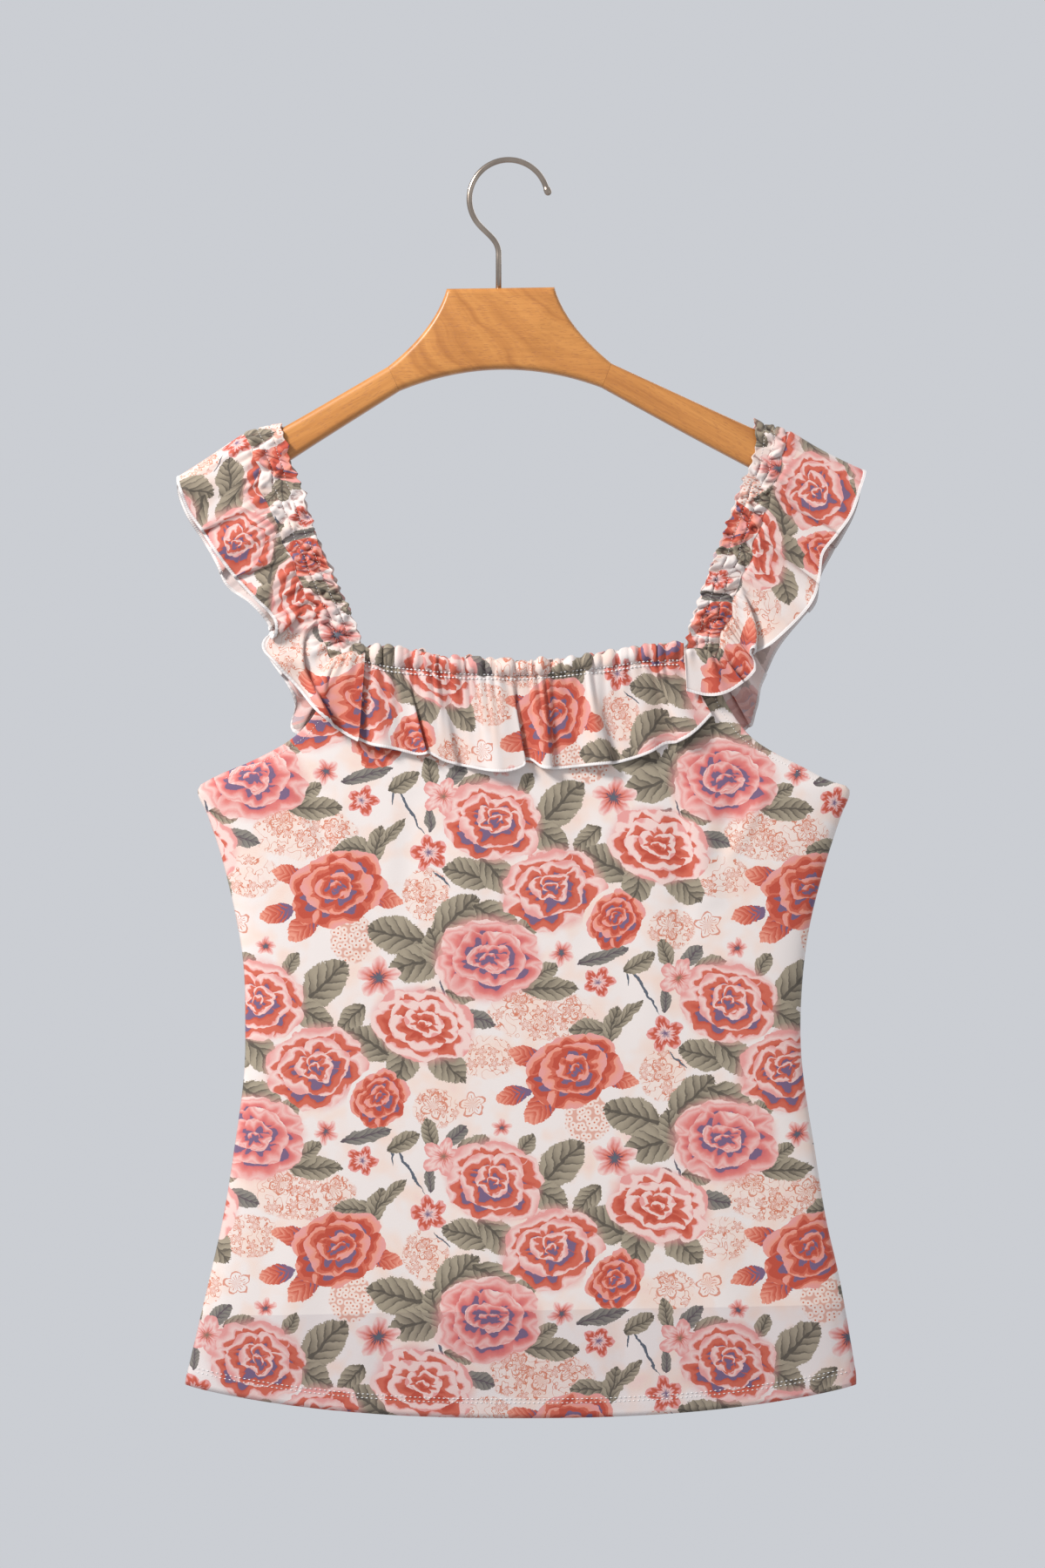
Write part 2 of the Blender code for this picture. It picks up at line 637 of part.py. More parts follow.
def hanger_hook(name, look):
    """One bent wire: rounded tip, open round, reverse bend and a straight shaft."""
    centre_z = WIRE_RADIUS - HOOK_RADIUS
    path = []
    round_start = math.radians(HOOK_TIP_TURN)
    round_end = math.radians(HOOK_FOOT_TURN)
    for share in (0.0, 0.12, 0.3, 0.6):
        run = HOOK_TIP_LENGTH * (1.0 - share)
        path.append((HOOK_RADIUS * math.cos(round_start) + run * math.sin(round_start),
                     centre_z + HOOK_RADIUS * math.sin(round_start)
                     - run * math.cos(round_start)))
    steps = 22
    for step in range(steps + 1):
        angle = blend(round_start, round_end, step / steps)
        path.append((HOOK_RADIUS * math.cos(angle), centre_z + HOOK_RADIUS * math.sin(angle)))
    end_x, end_z = path[-1]
    guides = [(end_x, end_z),
              (end_x - HOOK_LEAD * math.sin(round_end), end_z + HOOK_LEAD * math.cos(round_end)),
              (SHAFT_X, SHAFT_TOP_Z + HOOK_LEAD), (SHAFT_X, SHAFT_TOP_Z)]
    bend_steps = 7
    path += [bezier(guides, step / bend_steps) for step in range(1, bend_steps + 1)]
    path.append((SHAFT_X, SHAFT_BOTTOM_Z))
    points = []
    for index, (x, z) in enumerate(path):
        before = path[max(index - 1, 0)]
        after = path[min(index + 1, len(path) - 1)]
        run = Vector((after[0] - before[0], after[1] - before[1])).normalized()
        radius = (0.9, HOOK_TIP_RADIUS, HOOK_TIP_RADIUS)[index] if index < 3 else WIRE_RADIUS
        for side in range(WIRE_SIDES):
            angle = math.tau * side / WIRE_SIDES
            out = radius * math.cos(angle)
            points.append((x - run.y * out, radius * math.sin(angle), z + run.x * out))
    return solid(name, points, tube_faces(len(path), WIRE_SIDES), look, sharp_angle=60.0)


# ---- the whole ----------------------------------------------------------------------------------

for leftover in list(bpy.data.objects):
    bpy.data.objects.remove(leftover, do_unlink=True)

hanger_hook("hanger_hook", material("hook steel", STEEL, 0.3, 1.0))
hanger_block("hanger_block", material("block beech", BEECH, 0.45))
hanger_arm("hanger_arm_left", LEFT_ARM, material("left arm beech", BEECH, 0.45))
hanger_arm("hanger_arm_right", RIGHT_ARM, material("right arm beech", BEECH, 0.45))

body_panel("body_front", -1, material("front print", CREAM_PRINT, 0.8))
body_panel("body_back", 1, material("back print", CREAM_PRINT, 0.8))
strap("strap_left", LEFT_SHOULDER, material("left strap print", ROSE_PRINT, 0.8))
strap("strap_right", RIGHT_SHOULDER, material("right strap print", ROSE_PRINT, 0.8))
neck_ruffle("ruffle_front", -1, FRONT_NECK_FLUTES, material("front ruffle print", ROSE_PRINT, 0.8))
neck_ruffle("ruffle_back", 1, BACK_NECK_FLUTES, material("back ruffle print", ROSE_PRINT, 0.8))
shoulder_ruffle("ruffle_left", LEFT_SHOULDER, LEFT_CORNER, LEFT_FRONT_FLUTES,
                material("left ruffle print", CREAM_PRINT, 0.8))
shoulder_ruffle("ruffle_right", RIGHT_SHOULDER, RIGHT_CORNER, RIGHT_FRONT_FLUTES,
                material("right ruffle print", CREAM_PRINT, 0.8))
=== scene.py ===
"""Ruffled square-neck tank top on a wooden hanger: its looks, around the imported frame."""

import math
from collections import namedtuple

import bpy
import numpy as np
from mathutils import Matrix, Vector


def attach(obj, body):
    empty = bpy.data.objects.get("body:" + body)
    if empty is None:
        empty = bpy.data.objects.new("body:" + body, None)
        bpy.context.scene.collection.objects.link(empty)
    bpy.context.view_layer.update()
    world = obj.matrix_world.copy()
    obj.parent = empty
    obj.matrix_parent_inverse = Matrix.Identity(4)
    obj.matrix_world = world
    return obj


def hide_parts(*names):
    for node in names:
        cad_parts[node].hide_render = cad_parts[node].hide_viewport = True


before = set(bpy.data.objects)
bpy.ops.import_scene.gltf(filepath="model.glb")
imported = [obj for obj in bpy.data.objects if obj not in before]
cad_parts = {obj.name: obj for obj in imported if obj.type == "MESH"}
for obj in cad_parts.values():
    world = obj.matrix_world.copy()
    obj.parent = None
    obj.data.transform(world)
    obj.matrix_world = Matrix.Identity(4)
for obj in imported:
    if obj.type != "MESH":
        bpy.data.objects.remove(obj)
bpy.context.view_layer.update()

# ---- the room -----------------------------------------------------------------------------------
# A bare pale studio, seen straight from the front with a long lens. A soft light hangs at the
# upper left, weak wide ones fill in from the right and behind, and the floor lies below the hem.

MM = 0.001
PICTURE_CENTRE = (8.8, -392.3)     # what the middle of the picture shows, x and z
PICTURE_HEIGHT = 990.0
LENS, SENSOR = 85.0, 36.0
AIR_GREY = (0.597, 0.615, 0.652)
LIGHTS_AIM = (0.0, 0.0, -0.45)
FLOOR_Z = -1250.0
FLOOR_RADIUS = 900.0
FLOOR_SIDES = 96

scene = bpy.context.scene
scene.view_settings.view_transform = "Standard"

camera = bpy.data.objects.new("camera", bpy.data.cameras.new("camera"))
camera.data.lens = LENS
camera.data.sensor_width = SENSOR
distance = PICTURE_HEIGHT * LENS / SENSOR
camera.location = Vector((PICTURE_CENTRE[0], -distance, PICTURE_CENTRE[1])) * MM
camera.rotation_euler = (math.radians(90.0), 0.0, 0.0)
scene.collection.objects.link(camera)
scene.camera = camera


def soft_light(name, place, size, power, tint):
    lamp = bpy.data.lights.new(name, "AREA")
    lamp.shape = "RECTANGLE"
    lamp.size, lamp.size_y = size
    lamp.energy = power
    lamp.color = tint
    holder = bpy.data.objects.new(name, lamp)
    holder.location = place
    aim = Vector(LIGHTS_AIM) - Vector(place)
    holder.rotation_euler = aim.to_track_quat("-Z", "Y").to_euler()
    scene.collection.objects.link(holder)


soft_light("key light", (-1.35, -1.05, 0.85), (0.42, 0.42), 56.0, (1.0, 0.985, 0.97))
soft_light("fill light", (1.7, -1.8, -0.3), (1.6, 1.8), 3.0, (0.96, 0.98, 1.0))
soft_light("back light", (1.0, 1.9, 0.8), (1.4, 1.4), 9.0, (1.0, 0.99, 0.97))

world = bpy.data.worlds.new("studio air")
world.use_nodes = True
world.node_tree.nodes["Background"].inputs["Color"].default_value = (*AIR_GREY, 1.0)
world.node_tree.nodes["Background"].inputs["Strength"].default_value = 1.0
scene.world = world


class Graph:
    """Short calls that add nodes to a material or a node group, in the order they work in."""

    def __init__(self, tree):
        self.tree = tree

    def add(self, kind, values=None, **settings):
        node = self.tree.nodes.new(kind)
        for name, value in settings.items():
            setattr(node, name, value)
        for key, value in (values or {}).items():
            self.set(node.inputs[key], value)
        return node

    def set(self, socket, value):
        if isinstance(value, bpy.types.NodeSocket):
            self.tree.links.new(value, socket)
        else:
            socket.default_value = value

    def math(self, operation, first, second=0.0, third=0.0):
        values = {0: first, 1: second, 2: third}
        return self.add("ShaderNodeMath", values, operation=operation).outputs[0]

    def times(self, first, second):
        return self.math("MULTIPLY", first, second)

    def scaled(self, value, factor, offset):
        return self.math("MULTIPLY_ADD", value, factor, offset)

    def below(self, value, limit):
        return self.math("LESS_THAN", value, limit)

    def above(self, value, limit):
        return self.math("GREATER_THAN", value, limit)

    def vector(self, operation, first, second=(0.0, 0.0, 0.0)):
        node = self.add("ShaderNodeVectorMath", {0: first, 1: second}, operation=operation)
        return node.outputs["Value" if operation in ("LENGTH", "DISTANCE", "DOT_PRODUCT") else 0]

    def join(self, x, y=0.0, z=0.0):
        return self.add("ShaderNodeCombineXYZ", {0: x, 1: y, 2: z}).outputs[0]

    def ramp(self, factor, *stops):
        node = self.add("ShaderNodeValToRGB", {"Fac": factor})
        elements = node.color_ramp.elements
        while len(elements) < len(stops):
            elements.new(0.5)
        for element, (place, colour) in zip(elements, stops):
            element.position = place
            element.color = (*colour, 1.0)
        return node.outputs["Color"]

    def paint(self, share, under, over, blend="MIX"):
        node = self.add("ShaderNodeMix", {"Factor": share}, data_type="RGBA", blend_type=blend)
        colours = [socket for socket in node.inputs if socket.type == "RGBA"]
        for socket, value in zip(colours, (under, over)):
            self.set(socket, (*value, 1.0) if isinstance(value, tuple) else value)
        return [socket for socket in node.outputs if socket.type == "RGBA"][0]

    def noise(self, place, scale, detail=2.0, roughness=0.5, part="Fac"):
        return self.add("ShaderNodeTexNoise", {"Vector": place, "Scale": scale, "Detail": detail,
                                               "Roughness": roughness}).outputs[part]

    def stretch(self, place, scale, turn=(0.0, 0.0, 0.0)):
        return self.add("ShaderNodeMapping", {"Vector": place, "Rotation": turn,
                                              "Scale": scale}).outputs[0]

    def bump(self, shader, height, strength, depth):
        bump = self.add("ShaderNodeBump", {"Height": height, "Strength": strength,
                                           "Distance": depth})
        self.set(shader.inputs["Normal"], bump.outputs[0])


def new_look(name, kind=Graph, **uniform):
    """A material with its shader, and the graph that feeds it."""
    look = bpy.data.materials.new(name)
    look.use_nodes = True
    shader = look.node_tree.nodes["Principled BSDF"]
    for label, value in uniform.items():
        shader.inputs[label.replace("_", " ").title()].default_value = value
    return look, kind(look.node_tree), shader


floor_look, graph, shader = new_look("pale floor", roughness=0.7)
speckle = graph.noise(graph.add("ShaderNodeTexCoord").outputs["Object"], 60.0, 4.0)
graph.set(shader.inputs["Base Color"],
          graph.ramp(speckle, (0.3, (0.42, 0.43, 0.46)), (0.7, (0.47, 0.48, 0.51))))
rim = [(FLOOR_RADIUS * MM * math.cos(math.tau * side / FLOOR_SIDES),
        FLOOR_RADIUS * MM * math.sin(math.tau * side / FLOOR_SIDES),
        FLOOR_Z * MM) for side in range(FLOOR_SIDES)]
floor_mesh = bpy.data.meshes.new("floor")
floor_mesh.from_pydata(rim, [], [tuple(range(FLOOR_SIDES))])
floor_mesh.materials.append(floor_look)
floor = bpy.data.objects.new("floor", floor_mesh)
scene.collection.objects.link(floor)

# ---- hook ---------------------------------------------------------------------------------------
# One steel wire, drawn smooth and bent cold: a rounded tip, an open round that hangs on the rail,
# a reverse bend and a straight shaft that goes down into the block.

WIRE_RADIUS = 1.8
WIRE_SIDES = 24
TIP_RADIUS = 2.3
TIP_LENGTH = 7.5
TIP_NECK = ((0.55, 1.0), (0.42, 1.0), (0.34, 0.3), (0.24, 0.0))  # share of the tip, how thick
HOOK_RADIUS = 24.75
HOOK_START, HOOK_END = math.radians(22.0), math.radians(222.0)
ROUND_STEPS, BEND_STEPS = 72, 24
BEND_LEAD = 9.0                    # how straight the wire leaves the round and enters the shaft
SHAFT_X, SHAFT_TOP_Z, SHAFT_FOOT_Z = -6.3, -58.0, -98.0


def bezier(guides, share):
    rest = 1.0 - share
    weights = (rest ** 3, 3 * rest * rest * share, 3 * rest * share * share, share ** 3)
    return tuple(sum(w * guide[axis] for w, guide in zip(weights, guides)) for axis in (0, 1))


def blend(low, high, share):
    return low + (high - low) * share


def link_mesh(name, points, faces, look):
    """A smooth mesh object from points in millimetres, riding on the part's one body."""
    mesh = bpy.data.meshes.new(name)
    mesh.from_pydata([tuple(coordinate * MM for coordinate in point) for point in points], [],
                     faces)
    mesh.shade_smooth()
    mesh.materials.append(look)
    made = bpy.data.objects.new(name, mesh)
    scene.collection.objects.link(made)
    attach(made, "root")
    return made


def tube_faces(rings, sides):
    faces = [tuple(range(sides - 1, -1, -1))]
    for base in range(0, (rings - 1) * sides, sides):
        for side in range(sides):
            after = (side + 1) % sides
            faces.append((base + side, base + after, base + sides + after, base + sides + side))
    faces.append(tuple(range((rings - 1) * sides, rings * sides)))
    return faces


def hook_path():
    """Places along the wire with its radius there, from the tip to the shaft's foot."""
    tip = []
    for degrees in range(0, 91, 15):
        turn = math.radians(degrees)
        tip.append((TIP_LENGTH + TIP_RADIUS * (math.cos(turn) - 1.0),
                    max(TIP_RADIUS * math.sin(turn), 0.25)))
    tip += [(TIP_LENGTH * share, blend(WIRE_RADIUS, TIP_RADIUS, thick))
            for share, thick in TIP_NECK]
    centre_z = WIRE_RADIUS - HOOK_RADIUS
    path = [(HOOK_RADIUS * math.cos(HOOK_START) + run * math.sin(HOOK_START),
             centre_z + HOOK_RADIUS * math.sin(HOOK_START) - run * math.cos(HOOK_START),
             radius) for run, radius in tip]
    for step in range(ROUND_STEPS + 1):
        angle = blend(HOOK_START, HOOK_END, step / ROUND_STEPS)
        path.append((HOOK_RADIUS * math.cos(angle), centre_z + HOOK_RADIUS * math.sin(angle),
                     WIRE_RADIUS))
    end_x, end_z = path[-1][:2]
    guides = [(end_x, end_z),
              (end_x - BEND_LEAD * math.sin(HOOK_END), end_z + BEND_LEAD * math.cos(HOOK_END)),
              (SHAFT_X, SHAFT_TOP_Z + BEND_LEAD), (SHAFT_X, SHAFT_TOP_Z)]
    path += [(*bezier(guides, step / BEND_STEPS), WIRE_RADIUS)
             for step in range(1, BEND_STEPS + 1)]
    return path + [(SHAFT_X, SHAFT_FOOT_Z, WIRE_RADIUS)]


steel, graph, shader = new_look("satin steel wire", metallic=1.0)
place = graph.add("ShaderNodeTexCoord").outputs["Object"]
drawn = graph.noise(graph.stretch(place, (900.0, 900.0, 160.0)), 1.0, 3.0)
graph.set(shader.inputs["Base Color"], graph.ramp(
    graph.noise(place, 90.0, 3.0), (0.3, (0.31, 0.255, 0.21)), (0.75, (0.45, 0.375, 0.31))))
graph.set(shader.inputs["Roughness"], graph.scaled(drawn, 0.10, 0.20))
graph.bump(shader, drawn, 0.03, 0.0001)

hook_points = []
hook_places = hook_path()
for index, (x, z, radius) in enumerate(hook_places):
    before = hook_places[max(index - 1, 0)]
    after = hook_places[min(index + 1, len(hook_places) - 1)]
    run = Vector((after[0] - before[0], after[1] - before[1])).normalized()
    for side in range(WIRE_SIDES):
        angle = math.tau * side / WIRE_SIDES
        out = radius * math.cos(angle)
        hook_points.append((x - run.y * out, radius * math.sin(angle), z + run.x * out))
hook = link_mesh("wire_hook", hook_points, tube_faces(len(hook_places), WIRE_SIDES), steel)
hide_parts("hanger_hook")

# ---- hanger -------------------------------------------------------------------------------------
# Three lengths of beech, jointed where the block meets the arms, planed, rounded along every edge
# and finished with a thin satin varnish. The hook's shaft goes into the block's flat top.

WOOD_HALF_THICKNESS = 6.5
WOOD_ROUND = 4.0
CORNER_STEPS = 7
END_ROUND = 0.7                    # how bluntly the arms' rounded ends close
WOOD_CREASE = math.radians(50.0)
ARM_STATIONS, ARM_END_STEPS, BLOCK_SIDE_STEPS = 24, 8, 20


def table(columns, *rows):
    """A short table: rows whose values go by the columns' names."""
    row_kind = namedtuple("Row", columns)
    return [row_kind(*row) for row in rows]


ARM_COLUMNS = "upper_x upper_z lower_x lower_z"
LEFT_ARM = table(
    ARM_COLUMNS, (-76.05, -129.1, -69.05, -144.1), (-123, -156.5, -118, -175),
    (-166, -181, -160, -202), (-192, -197, -188, -217))
RIGHT_ARM = table(
    ARM_COLUMNS, (65.05, -127.1, 59.05, -142.1), (130, -157, 119, -175),
    (182, -181, 169, -201), (206, -195, 197, -212))
ARM_END = 6.2                      # the rounded end goes this far past the last place
BLOCK_LEFT_SIDE = [(-76, -129), (-58, -115), (-44, -98), (-39, -80)]
BLOCK_RIGHT_SIDE = [(29, -79), (34, -97), (48, -113), (65, -127)]
BLOCK_LEFT_FOOT, BLOCK_RIGHT_FOOT = (-69, -144), (59, -142)
BLOCK_TOP_SHARES = (0.03, 0.06, 0.2, 0.35, 0.5, 0.65, 0.8, 0.94, 0.97)
BLOCK_ARCH_RISE = 12.5
BLOCK_HEART = (0.062, 0.0, -0.052)  # the block's growth rings are round this place
RINGS_A_METRE = 105.0


def rows_between(rows, places):
    """A table's values at places along it (0 is its first row), on a smooth curve through it."""
    values = np.array(rows, dtype=float)
    last = len(values) - 1
    places = np.clip(np.asarray(places, dtype=float), 0.0, last)
    index = np.minimum(places.astype(int), last - 1)
    share = (places - index)[..., None]
    before, start, end, after = (values[np.clip(index + step, 0, last)] for step in (-1, 0, 1, 2))
    slope_in = 0.5 * (end - before)
    slope_out = 0.5 * (after - start)
    bend = 3.0 * (end - start) - 2.0 * slope_in - slope_out
    twist = 2.0 * (start - end) + slope_in + slope_out
    curve = start + share * (slope_in + share * (bend + share * twist))
    return type(rows[0])(*np.moveaxis(curve, -1, 0))


def wood_ring(upper, lower, size=1.0):
    """A rounded rectangle between an upper and a lower place, as thick as the wood."""
    centre_x, centre_z = 0.5 * (upper[0] + lower[0]), 0.5 * (upper[1] + lower[1])
    rise_x, rise_z = upper[0] - centre_x, upper[1] - centre_z
    half_height = math.hypot(rise_x, rise_z)
    ring = []
    for turn_y, turn_z, start in ((1, 1, 0), (-1, 1, 90), (-1, -1, 180), (1, -1, 270)):
        for step in range(CORNER_STEPS):
            angle = math.radians(start + 90.0 * step / (CORNER_STEPS - 1))
            across = (WOOD_HALF_THICKNESS - WOOD_ROUND) * turn_y + WOOD_ROUND * math.cos(angle)
            up = (half_height - WOOD_ROUND) * turn_z + WOOD_ROUND * math.sin(angle)
            share = size * up / half_height
            ring.append((centre_x + rise_x * share, size * across, centre_z + rise_z * share))
    return ring


def beech(name, slope, swirl, heart=None):
    """Varnished beech: bands along the piece or round its heart, and short dark flecks."""
    look, graph, shader = new_look(name, coat_weight=0.22, coat_roughness=0.28)
    place = graph.add("ShaderNodeTexCoord").outputs["Object"]
    along = graph.stretch(place, (1.0, 1.0, 1.0), (0.0, math.radians(slope), 0.0))
    drift = graph.noise(graph.stretch(along, (9.0, 30.0, 30.0)), 1.0, 2.0)
    shift = graph.times(drift, swirl)
    if heart:
        ring = graph.scaled(graph.vector("DISTANCE", place, heart), RINGS_A_METRE, shift)
        bands = graph.join(graph.times(drift, 1.5), 0.0, ring)
    else:
        bands = graph.vector("ADD", graph.stretch(along, (6.0, 110.0, 110.0)),
                             graph.join(0.0, 0.0, shift))
    figure = graph.noise(bands, 1.0, 3.0, 0.6)
    fibre = graph.noise(graph.stretch(along, (60.0, 1300.0, 1300.0)), 1.0, 2.0, 0.6)
    base = graph.ramp(figure, (0.28, (0.53, 0.235, 0.062)), (0.48, (0.70, 0.345, 0.105)),
                      (0.62, (0.78, 0.405, 0.135)), (0.80, (0.66, 0.310, 0.090)))
    streak = graph.ramp(fibre, (0.30, (0.80, 0.78, 0.74)), (0.62, (1.0, 1.0, 1.0)))
    base = graph.paint(0.65, base, streak, "MULTIPLY")
    base = graph.paint(1.0, base, (0.71, 0.57, 0.39), "MULTIPLY")
    pores = graph.add("ShaderNodeTexVoronoi",
                      {"Vector": graph.stretch(along, (170.0, 1500.0, 1500.0)), "Scale": 1.0})
    fleck = graph.times(graph.below(pores.outputs["Distance"], 0.27),
                        graph.above(graph.noise(along, 140.0, 1.0), 0.40))
    base = graph.paint(graph.times(fleck, 0.60), base, (0.33, 0.115, 0.028))
    graph.set(shader.inputs["Base Color"], base)
    graph.set(shader.inputs["Roughness"], graph.scaled(fibre, 0.14, 0.36))
    graph.bump(shader, graph.math("SUBTRACT", fibre, graph.times(fleck, 0.8)), 0.25, 0.0002)
    return look


def arm_stations(arm):
    """Rings along a straight arm and round its end."""
    rows = rows_between(arm, np.linspace(0.0, len(arm) - 1, ARM_STATIONS))
    stations = [((upper_x, upper_z), (lower_x, lower_z), 1.0)
                for upper_x, upper_z, lower_x, lower_z in zip(*rows)]
    before, last = arm[-2:]
    run = Vector((last.upper_x - before.upper_x, last.upper_z - before.upper_z)).normalized()
    for step in range(1, ARM_END_STEPS + 1):
        turn = math.radians(90.0 * step / ARM_END_STEPS)
        out = run * (ARM_END * math.sin(turn))
        stations.append(((last.upper_x + out.x, last.upper_z + out.y),
                         (last.lower_x + out.x, last.lower_z + out.y),
                         max(math.cos(turn), 0.02) ** END_ROUND))
    return stations


def block_stations():
    """Rings from the left joint over the hollow side, the flat top and down to the right."""
    shares = [index / BLOCK_SIDE_STEPS for index in range(BLOCK_SIDE_STEPS + 1)]
    left_top, right_top = BLOCK_LEFT_SIDE[-1], BLOCK_RIGHT_SIDE[0]
    uppers = [bezier(BLOCK_LEFT_SIDE, share) for share in shares]
    uppers += [(blend(left_top[0], right_top[0], share), blend(left_top[1], right_top[1], share))
               for share in BLOCK_TOP_SHARES]
    uppers += [bezier(BLOCK_RIGHT_SIDE, share) for share in shares]
    stations = []
    for index, upper in enumerate(uppers):
        share = index / (len(uppers) - 1)
        arch = BLOCK_ARCH_RISE * (1.0 - (2.0 * share - 1.0) ** 2)
        stations.append((upper, (blend(BLOCK_LEFT_FOOT[0], BLOCK_RIGHT_FOOT[0], share),
                                 blend(BLOCK_LEFT_FOOT[1], BLOCK_RIGHT_FOOT[1], share) + arch)))
    return stations


for name, stations, look in (
        ("block", block_stations(), beech("block beech", 0.0, 3.4, BLOCK_HEART)),
        ("arm_left", arm_stations(LEFT_ARM), beech("left arm beech", 29.5, 0.7)),
        ("arm_right", arm_stations(RIGHT_ARM), beech("right arm beech", -29.5, 0.7))):
    points = [point for station in stations for point in wood_ring(*station)]
    wood = link_mesh("wooden_" + name, points, tube_faces(len(stations), 4 * CORNER_STEPS), look)
    wood.data.set_sharp_from_angle(angle=WOOD_CREASE)
    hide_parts("hanger_" + name)

# ---- body panels --------------------------------------------------------------------------------
# Front and back are one cut each of printed mesh jersey, shaped at the waist and joined at the
# sides with an overlocked seam. The hem is turned up once and sewn with a twin needle.

CLOTH = 0.6                        # shown thickness of one layer
HEM_DEPTH = 11.0
HEM_STEP = 1.5                     # over this the doubled hem thins to one layer
SIDE_ROUND = 12                    # how fast a panel closes towards its side seams
SIDE_SOFTNESS = 0.6
SAG_ROUND = 2.4                    # how flat a level hangs in its middle
BODY_COLUMNS, BODY_ROWS, BODY_FINE_ROWS = 160, 150, 400
BODY_LEVELS = table(
    "left_x left_z right_x right_z sag edge middle",
    (-204, -771, 219, -771, 20, 1, 9.5), (-201, -757, 218, -758, 19, 1, 9.5),
    (-189, -706, 209, -706, 16, 1, 9.5), (-180, -666, 200, -666, 13, 1, 9.3),
    (-173, -623, 193, -623, 10, 1, 9.1), (-167, -578, 186, -578, 7, 1, 9.0),
    (-166, -546, 184, -546, 5, 1, 9.0), (-167, -508, 186, -508, 4, 1, 8.9),
    (-172, -476, 191, -476, 3, 1, 8.7), (-180, -442, 200, -442, 2.5, 1, 8.4),
    (-189, -414, 209, -414, 2, 1, 8.1), (-196, -396, 215, -396, 2, 1, 7.9),
    (-183, -387, 201, -390, 3, 1.7, 7.8), (-164, -379, 186, -382, 4.5, 2.8, 7.7),
    (-146, -370, 168, -373, 6.5, 4, 7.6), (-133, -361, 153, -363, 7.5, 5.2, 7.4),
    (-122, -348, 141, -348, 8, 6.3, 7.3), (-114, -332, 133, -332, 9, 6.8, 7.2),
    (-112, -314, 130, -314, 11.5, 7, 7.2))
# Soft folds: side is -1 on the front and 1 on the back, rise is negative in a trough.
BODY_DRAPES = table(
    "side top_x top_z foot_x foot_z half_width rise",
    (-1, 118, -392, 128, -470, 13, 1.5), (-1, 84, -398, 92, -560, 22, 0.9),
    (-1, -22, -402, -34, -520, 20, 0.8), (-1, -112, -398, -98, -500, 16, 1.0),
    (-1, -120, -640, -146, -770, 24, 1.2), (-1, -20, -660, -30, -780, 28, 1.0),
    (-1, 120, -640, 150, -770, 24, 1.2), (-1, -150, -380, -120, -430, 7, 1.0),
    (-1, -138, -372, -104, -452, 9, -1.1), (-1, 168, -384, 140, -440, 8, 1.0),
    (-1, 150, -372, 128, -452, 9, -1.0), (-1, 104, -388, 112, -500, 11, -1.0),
    (-1, 44, -392, 50, -500, 16, -0.7), (-1, -60, -396, -66, -480, 14, -0.8),
    (-1, -178, -610, -190, -760, 7, -0.9), (-1, 206, -640, 212, -772, 8, -0.9),
    (-1, -70, -700, -86, -786, 14, -0.8), (-1, 60, -690, 78, -788, 15, -0.9),
    (1, -104, -396, -118, -500, 15, 1.3), (1, -30, -400, -40, -560, 24, 0.9),
    (1, 90, -398, 82, -520, 18, 1.1), (1, -110, -650, -134, -770, 24, 1.1),
    (1, 30, -660, 38, -782, 28, 1.0), (1, 128, -640, 156, -770, 22, 1.2),
    (1, -148, -376, -122, -440, 8, -1.0), (1, 152, -378, 130, -448, 9, -1.0),
    (1, 10, -396, 4, -500, 14, -0.8), (1, -60, -690, -66, -784, 15, -0.9))


def ease(share):
    share = np.clip(share, 0.0, 1.0)
    return share * share * (3.0 - 2.0 * share)


def rounded(distance, half_width):
    """A soft rise of 1 in the middle that falls to 0 at half_width on both sides."""
    return 0.5 + 0.5 * np.cos(np.pi * np.clip(np.abs(distance) / half_width, 0.0, 1.0))


def unit(vectors):
    return vectors / np.maximum(np.linalg.norm(vectors, axis=-1, keepdims=True), 1e-9)


def length_along(line):
    steps = np.linalg.norm(np.diff(line, axis=0), axis=1)
    return np.concatenate([[0.0], np.cumsum(steps)])


def grid_normals(middle):
    """Unit normals of a grid of points, turned away from the garment's middle plane."""
    normals = unit(np.cross(np.gradient(middle, axis=0), np.gradient(middle, axis=1)))
    return -normals if np.sum(normals[..., 1] * middle[..., 1]) < 0.0 else normals


def facing(faces, points, outward):
    """The faces, turned over together where they look away from the outward directions."""
    corner = points[faces[:, 0]]
    normals = np.cross(points[faces[:, 1]] - corner, points[faces[:, 3]] - corner)
    return faces[:, ::-1] if np.sum(normals[:len(outward)] * outward) < 0.0 else faces


